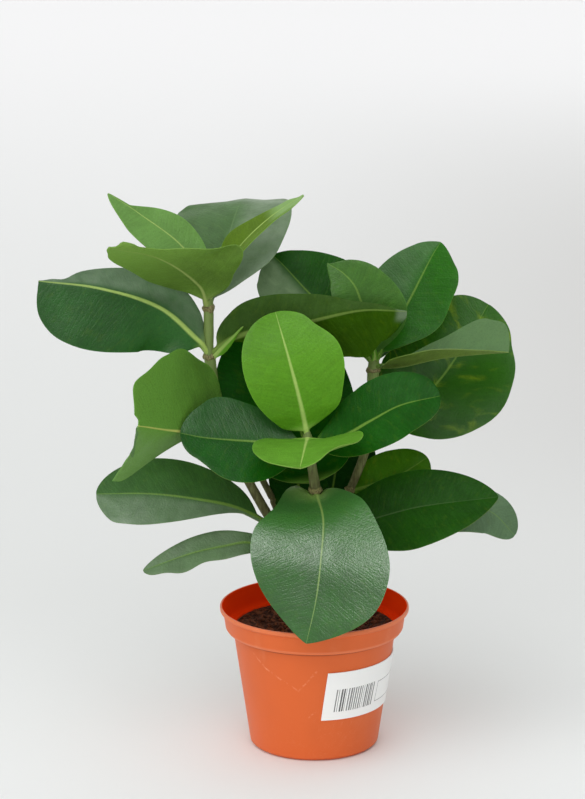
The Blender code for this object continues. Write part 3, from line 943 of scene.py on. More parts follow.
@dataclass(frozen=True)
class Side:
    """One side of a blade.

    It is widest at the share belly of the leaf, narrows to the tip by taper, folds up by this many degrees,
    and has its own touches.
    """

    width: float
    belly: float
    taper: float
    fold: float
    touches: tuple[Touch, ...] = ()


@dataclass(frozen=True)
class Leaf:
    """A leaf: its spine from stem to tip, the way its upper side looks, its two sides and its finish."""

    name: str
    spine: tuple[Point, ...]
    face: Point
    left: Side
    right: Side
    finish: LeafFinish = DARK
    stalk: float = 0.06
    # Height in millimetres and count of the waves along the edges
    wave: Pair = (0.0, 1.5)


LEAVES = (
    Leaf(
        "leaf_left_crown_pale",
        spine=((-67, 1, 289), (-80, 6, 318), (-110, 4, 343), (-127.5, 0, 355.5)),
        face=(0.45, -0.75, 0.5),
        left=Side(20, 0.5, 0.7, 12),
        right=Side(14, 0.4, 1.5, 12, (Touch(0.85, 0.13, -3.6), Touch(0.5, 0.1, 0.8))),
        finish=dyed(FRESH, tone(112, 160, 76), rib_width=0.8),
    ),
    Leaf(
        "leaf_left_crown_narrow",
        spine=((-66, -0.5, 289), (-48, -4, 320.5), (-27.5, -6, 341.5), (-7, -8, 356)),
        face=(-0.5, -0.35, 0.8),
        left=Side(9.8, 0.4, 1.7, 30, (Touch(0.42, 0.12, 3.0), Touch(0.92, 0.07, 2.5))),
        right=Side(7.6, 0.5, 0.5, 0, (Touch(0.9, 0.08, 1.5),)),
        finish=dyed(
            FRESH, tone(92, 126, 18), rib_width=0.8, tip_wax=0.85, wax_start=0.67, wax=tone(136, 172, 104),
        ),
    ),
    Leaf(
        "leaf_left_crown_back",
        spine=((-66, 0.5, 284), (-58, 14, 309.5), (-51.5, 26, 331), (-47, 44, 341), (-43.5, 66, 340)),
        face=(0.0, -0.8, 0.6),
        left=Side(39, 0.62, 0.4, -20, (
            Touch(0.76, 0.1, 2.4), Touch(0.96, 0.06, lift=-6.0), Touch(0.86, 0.05, lift=2.5),
        )),
        right=Side(36, 0.66, 0.42, 10, (
            Touch(0.93, 0.06, lift=5.0), Touch(0.38, 0.13, 2.8), Touch(0.77, 0.1, -2.0),
            Touch(0.93, 0.05, -4.0),
        )),
        finish=dyed(
            DARK, tone(73, 112, 56), shine=0.28, rib=tone(96, 128, 76), rib_width=0.5, bloom=(0.05, 0.4),
        ),
        wave=(2.0, 1.5),
    ),
    Leaf(
        "leaf_left_crown_front",
        spine=((-66.5, -0.5, 284), (-71, -10, 300), (-94, -38, 322.5), (-123, -70, 335.5)),
        face=(-0.05, 0.54, 0.82),
        left=Side(36, 0.3, 1.8, 5, (
            Touch(0.35, 0.08, 6.5), Touch(0.65, 0.13, -10.0), Touch(0.91, 0.06, 8.0),
            Touch(0.965, 0.035, 5.5), Touch(0.95, 0.045, lift=3.0, hem=True), Touch(0.5, 0.08, lift=-2.8),
            Touch(0.38, 0.07, -2.0, lift=3.0), Touch(0.17, 0.08, -4.5),
        )),
        right=Side(26, 0.5, 0.75, 0, (Touch(0.94, 0.05, -3.0), Touch(0.33, 0.14, 2.8))),
        finish=dyed(
            DARK, tone(62, 104, 40), under=tone(95, 130, 46), under_rib=tone(150, 168, 92), rib_width=0.6,
            shine=0.2, tip_light=1.0,
        ),
    ),
    Leaf(
        "leaf_left_middle_outer",
        spine=(
            (-66, -0.5, 254), (-73, -6, 264.5), (-95.5, -12, 286), (-132, -18, 299.5), (-169.5, -22, 305),
        ),
        face=(0.1, -0.7, 0.7),
        left=Side(39, 0.65, 0.3, -28, (
            Touch(0.4, 0.25, -2.0), Touch(0.2, 0.1, -1.0), Touch(0.09, 0.05, -5.0), Touch(0.97, 0.04, -3.0),
        )),
        right=Side(25, 0.36, 1.2, -10, (Touch(0.88, 0.05, -4.0),)),
        finish=dyed(
            DARK, tone(38, 91, 30), shine=0.18, foot_light=0.75, rib=tone(194, 222, 118), rib_width=1.5,
            bloom=(0.0, 0.36),
        ),
    ),
    Leaf(
        "leaf_left_middle_inner",
        spine=((-65.5, -0.5, 253.5), (-49, -4, 266), (-9.5, -8, 275), (28, -8, 283.5), (57, -8, 283)),
        face=(0.1, 0.95, -0.1),
        left=Side(32, 0.78, 0.4, 10, (
            Touch(0.7, 0.12, -2.0), Touch(0.92, 0.07, -14.0), Touch(0.96, 0.05, push=-8.0, hem=True),
        )),
        right=Side(21, 0.3, 1.4, 10, (Touch(0.13, 0.06, -2.0), Touch(0.75, 0.1, -2.5))),
        finish=dyed(
            DARK, tone(40, 84, 14), under=tone(46, 80, 3), shine=0.02, bloom=(0.0, 0.05), tip_wax=0.4,
        ),
    ),
    Leaf(
        "leaf_left_low_front",
        spine=((-54, -4.5, 206.5), (-83, -34, 213.5), (-107, -68, 225.5)),
        face=(-0.8, 0.6, 0.0),
        left=Side(51, 0.56, 0.42, 5, (
            Touch(0.16, 0.12, 7.0), Touch(0.72, 0.12, -3.0), Touch(0.93, 0.06, -3.0, push=6.0),
            Touch(0.98, 0.05, push=30.0), Touch(0.98, 0.045, push=5.5, hem=True),
        )),
        right=Side(40, 0.8, 0.8, 32, (
            Touch(0.87, 0.06, 3.5), Touch(0.7, 0.1, 6.0), Touch(0.93, 0.06, push=-16.5, hem=True),
        )),
        finish=dyed(
            DARK, tone(62, 104, 40), under=tone(84, 130, 42), under_rib=tone(192, 200, 104), rib_width=0.6,
            rib_fade=0.1, shine=0.15, tip_light=0.8, bloom=(0.0, 0.2),
        ),
    ),
    Leaf(
        "leaf_left_low_back",
        spine=((-54, -3.5, 206.5), (-70, 10, 211), (-76, 46, 219), (-66, 82, 213)),
        face=(0.0, -0.3, 0.95),
        left=Side(24, 0.55, 0.5, 6),
        right=Side(24, 0.55, 0.5, 6),
        finish=BEHIND,
        stalk=0.16,
    ),
    Leaf(
        "leaf_middle_upright",
        spine=((-4.5, -24, 207), (-9.5, -26, 231), (-16, -24, 256), (-24.5, -14, 284)),
        face=(0.1, -1.0, 0.2),
        left=Side(30, 0.55, 0.45, 8, (Touch(0.1, 0.05, 2.0),)),
        right=Side(33, 0.54, 0.6, 8, (Touch(0.84, 0.12, -4.0), Touch(0.2, 0.1, 3.0))),
        finish=dyed(FRESH, tone(91, 150, 29), shine=0.12),
    ),
    Leaf(
        "leaf_middle_left",
        spine=((-4.5, -24, 202.5), (-37, -30, 205.5), (-67.5, -36, 209.5), (-83, -38, 213)),
        face=(0.0, -0.8, 0.6),
        left=Side(29, 0.5, 0.65, 6, (Touch(0.85, 0.14, -4.6),)),
        right=Side(26, 0.6, 0.5, 6, (Touch(0.72, 0.15, 1.8),)),
        finish=dyed(DARK, tone(20, 86, 8), shine=0.16, rough=0.36, bloom=(0.0, 0.07)),
    ),
    Leaf(
        "leaf_middle_front",
        spine=((-4.5, -24.5, 206), (-6, -50, 208), (-9.4, -96, 206.5)),
        face=(0.0, -0.1, 1.0),
        left=Side(36.5, 0.36, 0.62, 14, (Touch(0.88, 0.15, -4.0, lift=16.0),)),
        right=Side(31.5, 0.5, 0.4, 5),
        finish=dyed(FRESH, tone(102, 160, 46), shine=0.15, rib_width=1.1),
    ),
    Leaf(
        "leaf_middle_right",
        spine=((-4.5, -24, 202.5), (15.5, -26, 207), (34, -28, 218), (52.5, -28, 228), (77, -28, 234)),
        face=(0.1, -0.75, 0.65),
        left=Side(23, 0.58, 0.45, 5),
        right=Side(21, 0.58, 0.45, 5),
        finish=dyed(DARK, tone(24, 85, 10), shine=0.05),
    ),
    Leaf(
        "leaf_middle_back",
        spine=((0.5, -20, 171), (-6, 4, 194.5), (-16.5, 16, 227), (-24.5, 22, 258), (-27, 22, 272)),
        face=(0.0, -0.95, 0.3),
        left=Side(47, 0.53, 0.42, 5),
        right=Side(39, 0.5, 0.45, 5),
        finish=dyed(DARK, tone(16, 77, 3), shine=0.03),
    ),
    Leaf(
        "leaf_middle_drooping",
        spine=((0.5, -20, 170.5), (5, -42, 159), (3.5, -58, 138), (0.5, -66, 114.5), (-5.5, -72, 88.5)),
        face=(0.0, -0.8, 0.6),
        left=Side(43, 0.52, 0.85, 7, (
            Touch(0.14, 0.1, 4.0, lift=4.0, push=-8.0), Touch(0.75, 0.1, 1.5),
            Touch(0.08, 0.055, push=-8.0, hem=True),
        )),
        right=Side(44, 0.42, 0.85, 6, (
            Touch(0.12, 0.08, 1.0, lift=5.0, push=-6.0), Touch(0.8, 0.12, 1.5),
            Touch(0.065, 0.05, push=-16.5, hem=True),
        )),
        finish=dyed(
            DARK, tone(50, 104, 36), shine=0.52, rough=0.34, foot_light=1.0, rib=tone(150, 182, 92),
            rib_width=0.75,
        ),
        stalk=0.04,
    ),
    Leaf(
        "leaf_low_left_upper",
        spine=(
            (-25, -8, 144), (-48.5, -18, 159.5), (-71.5, -24, 166.5), (-102, -30, 172), (-135.5, -34, 173),
        ),
        face=(0.0, -0.7, 0.7),
        left=Side(21, 0.75, 0.5, -5, (Touch(0.94, 0.05, 3.5),)),
        right=Side(28, 0.55, 0.6, -5),
        finish=dyed(DARK, tone(58, 105, 40), shine=0.25, bloom=(0.3, 0.0)),
        stalk=0.12,
    ),
    Leaf(
        "leaf_low_left_lower",
        spine=((-12, -5, 118), (-40, -16, 136), (-58, -20, 135), (-78, -26, 132), (-107, -34, 123.5)),
        face=(0.0, -0.75, 0.6),
        left=Side(12, 0.7, 0.6, 5, (
            Touch(0.92, 0.09, -4.6), Touch(0.64, 0.1, -3.2), Touch(0.35, 0.1, 2.0),
        )),
        right=Side(11, 0.45, 0.7, 5, (Touch(0.35, 0.1, -3.5),)),
        finish=dyed(DARK, tone(91, 127, 76), shine=0.15, bloom=(0.15, 0.15)),
        stalk=0.1,
    ),
    Leaf(
        "leaf_right_crown_left",
        spine=((36.3, 11.2, 246), (17.5, 24, 266), (-5, 32, 287.5), (-21, 38, 304), (-27, 40, 309)),
        face=(0.0, -0.75, 0.65),
        left=Side(29, 0.65, 0.35, 5),
        right=Side(34, 0.5, 0.9, 5),
        finish=dyed(DARK, tone(28, 86, 6), shine=0.05, bloom=(0.6, 0.0), wax=tone(154, 180, 138)),
    ),
    Leaf(
        "leaf_right_crown_front",
        spine=((37.3, 10.2, 247), (32, 4, 273.5), (25.5, 4, 295), (17.5, 5, 304.5), (7.5, 6, 310.5)),
        face=(0.1, -0.95, 0.2),
        left=Side(18, 0.58, 0.9, 5),
        right=Side(27, 0.4, 1.3, 5, (Touch(0.85, 0.09, 1.2),)),
        finish=dyed(DARK, tone(70, 120, 38), shine=0.2),
    ),
    Leaf(
        "leaf_right_crown_upright",
        spine=((38.2, 11.7, 247), (48.5, 20, 265), (58, 26, 279.5), (74, 34, 309.5), (79.5, 36, 318)),
        face=(-0.1, -0.85, 0.5),
        left=Side(28, 0.48, 0.8, 5),
        right=Side(29, 0.58, 0.7, 5, (Touch(0.64, 0.15, -4.2),)),
        finish=dyed(DARK, tone(37, 104, 7), shine=0.1, bloom=(0.16, 0.0)),
    ),
    Leaf(
        "leaf_right_crown_back",
        spine=((37.2, 13, 243.5), (38, 45, 262), (36, 74, 269), (34, 96, 262)),
        face=(0.0, -0.3, 0.95),
        left=Side(22, 0.55, 0.5, 6),
        right=Side(22, 0.55, 0.5, 6),
        finish=BEHIND,
    ),
    Leaf(
        "leaf_right_crown_outer",
        spine=(
            (37.5, 10.5, 244), (53, 0, 246.5), (77.5, -8, 253.5), (102, -14, 257.5), (119.5, -18, 259.5),
        ),
        face=(0.0, -0.05, 1.0),
        left=Side(30, 0.8, 0.35, 34, (Touch(0.55, 0.2, -5.0), Touch(0.9, 0.07, -3.5))),
        right=Side(20, 0.4, 1.2, 30),
        finish=dyed(DARK, tone(75, 109, 60), shine=0.28, tip_light=0.5),
    ),
    Leaf(
        "leaf_right_middle_outer",
        spine=((35.5, 12.5, 212), (57.5, 24, 215.5), (74.5, 30, 224.5), (90.5, 38, 243.5), (111, 50, 275)),
        face=(-0.2, -0.9, 0.4),
        left=Side(40, 0.5, 0.38, 5, (Touch(0.92, 0.06, -2.0),)),
        right=Side(41, 0.56, 0.6, 5, (Touch(0.5, 0.14, 4.0), Touch(0.86, 0.08, -3.5))),
        finish=dyed(DARK, tone(38, 90, 3), shine=0.1, tip_light=0.45, mottles=0.75, mottle_grain=0.42),
    ),
    Leaf(
        "leaf_right_middle_inner",
        spine=((34.5, 13.5, 199), (15, 45, 203), (-8, 78, 203), (-20, 100, 196)),
        face=(0.0, -0.1, 1.0),
        left=Side(26, 0.55, 0.5, 5),
        right=Side(26, 0.55, 0.5, 5),
        finish=BEHIND,
    ),
    Leaf(
        "leaf_low_right_upper",
        spine=((21.5, 10, 162), (35, 10, 166), (54, 16, 171.5), (72, 21.5, 181.5)),
        face=(0.0, -0.7, 0.7),
        left=Side(19, 0.5, 0.55, 5),
        right=Side(20, 0.5, 0.55, 5),
        finish=dyed(DARK, tone(66, 122, 8), shine=0.1, mottles=0.4),
    ),
    Leaf(
        "leaf_low_right_front",
        spine=((4.5, 3.5, 127), (22.5, -8, 145), (38.5, -10, 150.5), (66, -12, 158.5), (115, -14, 165.5)),
        face=(0.0, -0.75, 0.65),
        left=Side(25, 0.5, 0.7, 5),
        right=Side(29, 0.45, 0.8, 5, (Touch(0.35, 0.12, -3.5),)),
        finish=dyed(DARK, tone(30, 80, 7), rib=tone(72, 104, 56), rib_width=0.6, shine=0.04),
        stalk=0.1,
    ),
    Leaf(
        "leaf_low_right_back",
        spine=((6, 5, 130), (42, 16, 145), (86.5, 24, 151), (112.5, 26, 144.5), (128.5, 26, 128.5)),
        face=(0.1, -0.75, 0.65),
        left=Side(14, 0.75, 0.5, 5),
        right=Side(22, 0.5, 0.5, 5),
        finish=dyed(DARK, tone(96, 128, 90), shine=0.25),
        stalk=0.1,
    ),
    Leaf(
        "leaf_low_back_left",
        spine=((-36.5, 4.7, 178.5), (-42, 14, 188), (-47, 22, 200), (-50, 28, 208)),
        face=(0.0, -0.8, 0.6),
        left=Side(16, 0.5, 0.5, 6),
        right=Side(16, 0.5, 0.5, 6),
        finish=INMOST,
    ),
    Leaf(
        "leaf_low_back_middle",
        spine=((1.2, -15.5, 149), (-7, 0, 160), (-13, 12, 178), (-14, 22, 198)),
        face=(0.0, -0.9, 0.5),
        left=Side(18, 0.42, 0.5, 5),
        right=Side(18, 0.42, 0.5, 5),
        finish=INMOST,
    ),
    Leaf(
        "leaf_low_back_right",
        spine=((8.5, 5.5, 137), (11, 22, 156), (15, 34, 178), (17, 42, 197)),
        face=(0.0, -0.9, 0.5),
        left=Side(24, 0.55, 0.35, 6),
        right=Side(26, 0.55, 0.35, 6),
        finish=INMOST,
    ),
)


def bud(name: str, spine: tuple[Point, ...], face: Point, width: float = 1.6) -> Leaf:
    """A narrow young leaf with two sides alike.

    Args:
        name: Its name.
        spine: Its spine from stem to tip.
        face: The way its upper side looks.
        width: Half its width.

    Returns:
        The leaf.
    """
    side = Side(width, 0.4, 0.9, 20)
    return Leaf(name, spine, face, side, side, FRESH, stalk=0.02)


BUD_LEAVES = (
    Leaf(
        "bract_left",
        spine=((-64, -2.5, 252), (-58, -5, 259), (-51, -7, 266.5), (-44.5, -8, 273.5)),
        face=(0.3, -0.85, -0.3),
        left=Side(1.2, 0.4, 1.0, 5),
        right=Side(4.0, 0.3, 1.5, 10),
        finish=FRESH,
        stalk=0.02,
    ),
    bud("bud_left", ((-66.5, 0, 290), (-64.5, -1.5, 296), (-62, -3, 301)), (-0.7, -0.5, 0.5)),
    bud("bud_right_first", ((37, 10, 246), (33, 7.5, 251), (29.5, 5, 256)), (0.6, -0.6, 0.5)),
    bud("bud_right_second", ((37.5, 10, 246), (37.5, 6, 252), (37, 3, 258)), (0.1, -0.9, 0.3), 2.0),
    bud("bud_right_third", ((38, 10, 246), (40, 7, 251), (42, 4, 256)), (-0.5, -0.7, 0.5)),
)


@dataclass(frozen=True)
class Section:
    """A blade's spine at one share of its length, with the directions across and above it."""

    share: float
    run: float
    centre: Vector
    ahead: Vector
    sideways: Vector
    up: Vector


@dataclass
class Foliage:
    """Every leaf as a thick, finely divided blade with its stalk and midrib."""

    leaves: tuple[Leaf, ...] = LEAVES
    buds: tuple[Leaf, ...] = BUD_LEAVES
    rows: int = 60
    columns: int = 36
    bud_rows: int = 10
    bud_columns: int = 6
    # Thickness of the blade, and of its edge from edge_from outwards
    plate: float = 0.9
    edge: float = 0.45
    edge_from: float = 0.86
    # The midrib's height, of which this share stands on the upper face, and the groove along it
    rib_depth: float = 1.7
    rib_above: float = 0.28
    rib_spread: float = 2.6
    groove: float = 0.22
    groove_spread: float = 1.1
    stalk_width: float = 2.0
    stalk_depth: float = 1.5
    stalk_skin: float = 0.12
    stalk_blend: float = 0.07
    # Share of the length over which the two sides fold up, and where the tip ends
    fold_growth: float = 0.15
    tip_end: float = 0.9985
    # Above 1, the columns stand closer together near the midrib
    column_power: float = 1.4
    # Low swells of the blade: their height, how close they are along and across it, and where they start
    ripple: float = 0.5
    ripple_along: float = 5.0
    ripple_across: float = 0.045
    ripple_reach: float = 8.0
    # Narrower blades are buds, with neither midrib nor round stalk
    bud_width: float = 5.0
    bud_plate: float = 0.7
    # Reach over which a hem touch grows
    hem_reach: float = 6.0
    # How bluntly the bare tip ends, and how fast touches fade before it
    tip_blunt: float = 0.3
    tip_fade: float = 6.0
    # Edges that turn by more degrees stay crisp
    crisp: float = 75.0

    def build(self) -> None:
        """Builds every leaf and the bud leaves at the shoot tips."""
        for leaf in self.leaves:
            bm = self.blade(leaf, self.rows, self.columns)
            names = [f"{leaf.name}_{face.value}" for face in Face]
            materials = [leaf.finish.material(name, face) for name, face in zip(names, Face)]
            dressed(link_mesh(f"{leaf.name}_blade", bm, materials, self.crisp), leaf.name, leaf.name)
        materials = [FRESH.material(f"bud_{face.value}", face) for face in Face]
        for leaf in self.buds:
            bm = self.blade(leaf, self.bud_rows, self.bud_columns)
            dressed(link_mesh(leaf.name, bm, materials, self.crisp), "woody_stems")

    def half_width(self, leaf: Leaf, side: Side, share: float) -> float:
        """How far the blade reaches to one side, in millimetres.

        Args:
            leaf: The leaf.
            side: Its left or right side.
            share: Share of its length.

        Returns:
            The half width there.
        """
        along = (share - leaf.stalk) / (1 - leaf.stalk)
        bare = min(self.stalk_width, side.width)
        if along <= 0:
            return bare
        rise = side.taper * side.belly / (1 - side.belly)
        spread = (along / side.belly) ** rise * (max(1 - along, 0) / (1 - side.belly)) ** side.taper
        wider = sum(touch.wider * touch.strength(share) for touch in side.touches)
        wider *= min(1.0, self.tip_fade * (1 - along))
        return max(bare * (1 - along) ** self.tip_blunt, side.width * spread + wider)

    def sections(self, leaf: Leaf, rows: int) -> list[Section]:
        """The spine's sections, closest together at the foot and the tip."""
        points = [Vector(p) for p in leaf.spine]
        made: list[Section] = []
        run, last, step = 0.0, points[0], 0.001
        for row in range(rows + 1):
            share = self.tip_end * (1 - math.cos(math.pi * row / rows)) / 2
            centre = spine_point(points, share)
            ahead = spine_point(points, min(share + step, 1.0)) - spine_point(points, max(share - step, 0.0))
            sideways = ahead.cross(Vector(leaf.face)).normalized()
            up = sideways.cross(ahead).normalized()
            run += (centre - last).length
            last = centre
            made.append(Section(share, run, centre, ahead.normalized(), sideways, up))
        return made

    def surface(self, leaf: Leaf, section: Section, across: float, seed: float) -> tuple[Vector, float]:
        """A point of the blade's middle surface.

        Args:
            leaf: The leaf.
            section: The spine's section there.
            across: -1 at the left edge, 0 on the midrib, 1 at the right edge.
            seed: What makes one leaf's ripples differ from another's.

        Returns:
            The point in millimetres, and its reach from the midrib.
        """
        share = section.share
        side = leaf.right if across > 0 else leaf.left
        flip = 1 if across > 0 else -1
        full = self.half_width(leaf, side, share)
        reach = abs(across) * full
        opened = min(1.0, max(0.0, (share - leaf.stalk) / self.fold_growth))
        angle = math.radians(side.fold) * opened
        height, count = leaf.wave
        outward = (reach / side.width) ** 2
        hem = across * across * eased(reach, self.stalk_width, self.hem_reach)
        lift, push = height * outward * math.sin(2 * math.pi * count * share) * flip, 0.0
        for touch in side.touches:
            weight = touch.strength(share) * (hem if touch.hem else outward)
            lift += touch.lift * weight
            push += touch.push * weight
        swell = Vector((share * self.ripple_along, reach * self.ripple_across * flip, seed))
        lift += self.ripple * noise.noise(swell) * min(1.0, reach / self.ripple_reach) * opened
        point = section.centre + section.sideways * (flip * reach * math.cos(angle)) + section.ahead * push
        return point + section.up * (reach * math.sin(angle) + lift), reach

    def thickness(self, leaf: Leaf, share: float, across: float, reach: float) -> Pair:
        """How far the upper and the under face stand from the middle surface.

        Args:
            leaf: The leaf.
            share: Share of its length.
            across: Place across it, from -1 to 1.
            reach: Reach from the midrib in millimetres.

        Returns:
            The two distances in millimetres.
        """
        edge = eased(abs(across), self.edge_from, 1.0)
        plate = (self.plate + (self.edge - self.plate) * edge) / 2
        if leaf.right.width < self.bud_width:
            return plate * self.bud_plate, plate * self.bud_plate
        rib = self.rib_depth * (1 - share) ** 1.5 * math.exp(-((reach / self.rib_spread) ** 2))
        groove = self.groove * (1 - share) ** 0.5 * math.exp(-((reach / self.groove_spread) ** 2))
        stalk = 1.0 - eased(share, leaf.stalk * 0.8, leaf.stalk + self.stalk_blend)
        round_part = self.stalk_depth * math.sqrt(max(0.0, 1 - across * across)) + self.stalk_skin
        upper = plate + rib * self.rib_above - groove
        under = plate + rib * (1 - self.rib_above)
        return upper + (round_part - upper) * stalk, under + (round_part - under) * stalk

    def blade(self, leaf: Leaf, rows: int, columns: int) -> bmesh.types.BMesh:
        """One leaf as a closed slab, its upper face in the first material slot.

        Args:
            leaf: The leaf.
            rows: Faces along it.
            columns: Faces across it.

        Returns:
            The bmesh, with the UV maps that the finish reads.
        """
        bm = bmesh.new()
        bmesh.ops.create_grid(bm, x_segments=rows, y_segments=columns, size=0.5)
        keys = ("share", "across", "reach", "run", "above", "below")
        layer = {key: bm.verts.layers.float.new(key) for key in keys}
        sections = self.sections(leaf, rows)
        seed = float(sum(map(ord, leaf.name)))
        for vertex in bm.verts:
            section = sections[round((vertex.co.x + 0.5) * rows)]
            raw = max(-1.0, min(1.0, 2 * vertex.co.y))
            across = math.copysign(abs(raw) ** self.column_power, raw)
            point, reach = self.surface(leaf, section, across, seed)
            above, below = self.thickness(leaf, section.share, across, reach)
            values = (section.share, across, math.copysign(reach, across), section.run, above, below)
            for key, value in zip(keys, values):
                vertex[layer[key]] = value
            vertex.co = point * MM
        bm.normal_update()
        normals = {vertex.index: -vertex.normal for vertex in bm.verts}
        order = bm.verts.layers.int.new("order")
        for vertex in bm.verts:
            vertex[order] = vertex.index
        raised = bmesh.ops.extrude_face_region(bm, geom=bm.faces[:])
        lifted = {item for item in raised["geom"] if isinstance(item, bmesh.types.BMVert)}
        for vertex in bm.verts:
            away = vertex[layer["above"]] if vertex in lifted else -vertex[layer["below"]]
            vertex.co += normals[vertex[order]] * (away * MM)
        wide = bm.loops.layers.uv.new("millimetres")
        shape = bm.loops.layers.uv.new("shape")
        for face in bm.faces:
            face.material_index = 0 if all(v in lifted for v in face.verts) else 1
            for loop in face.loops:
                vertex = loop.vert
                loop[wide].uv = (0.5 + vertex[layer["reach"]] / UV_SPAN, vertex[layer["run"]] / UV_SPAN)
                loop[shape].uv = (0.5 + vertex[layer["across"]] / 2.0, vertex[layer["share"]])
        bmesh.ops.recalc_face_normals(bm, faces=bm.faces[:])
        return bm


# Wood


@dataclass(frozen=True)
class Stem:
    """A stem: the points of its path and the radius of the wood at each."""

    name: str
    points: tuple[Point, ...]
    radii: tuple[float, ...]

    def place(self, share: float) -> Vector:
        """The path's point at this share."""
        return spine_point([Vector(p) for p in self.points], share)

    def chords(self) -> list[float]:
        """The lengths between the points, in millimetres."""
        return [(Vector(b) - Vector(a)).length for a, b in zip(self.points, self.points[1:])]

    def radius(self, share: float) -> float:
        """The wood's radius along the path.

        Args:
            share: 0 at the path's first point and 1 at its last.

        Returns:
            A smooth blend of the radii at the two nearest points.
        """
        chords = self.chords()
        here, run = share * sum(chords), 0.0
        for chord, first, second in zip(chords, self.radii, self.radii[1:]):
            if here <= run + chord:
                return first + (second - first) * eased(here, run, run + chord)
            run += chord
        return self.radii[-1]


@dataclass
class WoodyStems:
    """Trunk and shoots grown into one body, with corky rings where leaves stand."""

    stems: tuple[Stem, ...] = (
        Stem(
            "trunk", ((0, 0, 36.6), (0, 0, 82), (-3, -1, 92), (-6.5, -2, 101), (-8, -2.5, 106)),
            (4.6, 4.8, 4.8, 4.6, 4.0),
        ),
        Stem(
            "left_shoot",
            (
                (-5, -1.5, 97), (-14, -6, 122), (-24.5, -8, 143.5), (-33, -8, 158.5), (-40.5, -8, 172.5),
                (-49.5, -6, 190.5), (-54, -4, 206.5), (-61.5, -2, 228.5), (-65.5, 0, 252), (-66, 0, 258),
                (-66, 0, 284), (-66.5, 0, 289), (-67, 0, 295),
            ),
            (3.4, 3.3, 3.2, 3.1, 3.0, 3.0, 3.6, 3.0, 3.6, 3.2, 3.2, 3.4, 1.8),
        ),
        Stem(
            "middle_shoot",
            (
                (-6, -2, 99), (-1.5, -12, 130.5), (1.5, -16, 151), (0.5, -20, 170.5), (-2, -22, 188.5),
                (-4.5, -24, 205), (-4.8, -24.3, 211),
            ),
            (3.4, 3.2, 3.2, 3.6, 3.0, 3.4, 1.8),
        ),
        Stem(
            "right_shoot",
            (
                (-5, -1.5, 98), (5, 4, 129), (22.5, 10, 163.5), (34, 14, 195), (35.5, 12, 221.5),
                (37, 11, 244), (37.4, 11, 250), (37.5, 11, 253),
            ),
            (3.4, 3.2, 2.7, 2.9, 3.0, 3.8, 3.2, 1.6),
        ),
        Stem(
            "back_twig",
            (
                (-9, -3, 112), (-18, -1, 136), (-25.3, 0, 157.5), (-31.6, 2, 170), (-37, 5, 180),
                (-39, 6.5, 184),
            ),
            (2.4, 2.4, 2.3, 2.2, 2.0, 1.4),
        ),
    )
    # Each ring's stem, its share of the stem's path and its radius
    rings: tuple[tuple[str, float, float], ...] = (
        ("left_shoot", 0.27, 3.9),
        ("left_shoot", 0.60, 4.0),
        ("left_shoot", 0.80, 4.2),
        ("left_shoot", 0.945, 3.9),
        ("middle_shoot", 0.66, 4.1),
        ("middle_shoot", 0.92, 3.7),
        ("right_shoot", 0.44, 3.3),
        ("right_shoot", 0.74, 3.6),
        ("right_shoot", 0.93, 4.2),
        ("trunk", 0.86, 5.2),
    )
    rows_per_mm: float = 0.5
    sides: int = 20
    voxel: float = 0.55
    smooth_passes: int = 4
    # Edges that turn by more degrees stay crisp, which is none
    crisp: float = 180.0
    # Slow unevenness of the stems: its height and its length
    wobble: float = 0.22
    wobble_length: float = 9.0
    # A ring's half length, how far its middle stands out, and how far its ends fall back
    ring_half: float = 2.1
    ring_crown: float = 0.2
    ring_fall: float = 1.2
    ring_rows: int = 10
    ring_sides: int = 32
    # Lumps of the cork: how many to a metre, and their height. Their seed keeps them the same in each run.
    lumps: tuple[Pair, ...] = ((320.0, 0.9), (1100.0, 0.35))
    lump_seed: int = 5

    def build(self) -> None:
        """Builds the fused wood and its rings."""
        bm = bmesh.new()
        for stem in self.stems:
            self.grow(bm, stem)
        bmesh.ops.recalc_face_normals(bm, faces=bm.faces[:])
        wood = link_mesh("wood", bm, [WoodFinish().material("young_wood")], self.crisp)
        remesh = wood.modifiers.new("fuse", "REMESH")
        remesh.mode = "VOXEL"
        remesh.voxel_size = self.voxel * MM
        remesh.use_smooth_shade = True
        apply_modifiers(wood)
        bm = bmesh.new()
        bm.from_mesh(wood.data)
        for _ in range(self.smooth_passes):
            bmesh.ops.smooth_vert(
                bm, verts=bm.verts[:], factor=0.5, use_axis_x=True, use_axis_y=True, use_axis_z=True
            )
        bm.to_mesh(wood.data)
        bm.free()
        wood.data.shade_smooth()
        dressed(wood, "woody_stems", "woody_stems")
        self.build_rings()

    def grow(self, bm: bmesh.types.BMesh, stem: Stem) -> None:
        """Adds one slightly uneven stem to the bmesh."""
        length = sum(stem.chords())
        seed = float(len(stem.name))

        def radius(share: float) -> float:
            """The stem's radius with its slow unevenness."""
            place = Vector((share * length / self.wobble_length, seed, 0))
            return stem.radius(share) + self.wobble * noise.noise(place)

        gather(bm, tube(stem.place, radius, int(length * self.rows_per_mm), self.sides))

    def build_rings(self) -> None:
        """Builds the corky rings as one piece."""
        bm = bmesh.new()
        named = {stem.name: stem for stem in self.stems}
        for name, share, radius in self.rings:
            stem = named[name]
            half = self.ring_half / sum(stem.chords())

            def place(part: float, stem: Stem = stem, share: float = share, half: float = half) -> Vector:
                """The ring's short path along its stem."""
                return stem.place(share + (part - 0.5) * 2 * half)

            def swell(part: float, radius: float = radius) -> float:
                """The ring's bulging radius."""
                return radius + self.ring_crown - self.ring_fall * (2 * part - 1) ** 2

            gather(bm, tube(place, swell, self.ring_rows, self.ring_sides))
        noise.seed_set(self.lump_seed)
        for vertex in bm.verts:
            moves = [noise.noise_vector(vertex.co * scale) * height for scale, height in self.lumps]
            vertex.co += sum(moves, Vector()) * MM
        bmesh.ops.recalc_face_normals(bm, faces=bm.faces[:])
        dressed(link_mesh("leaf_scars", bm, [CorkFinish().material("cork")]), "woody_stems")


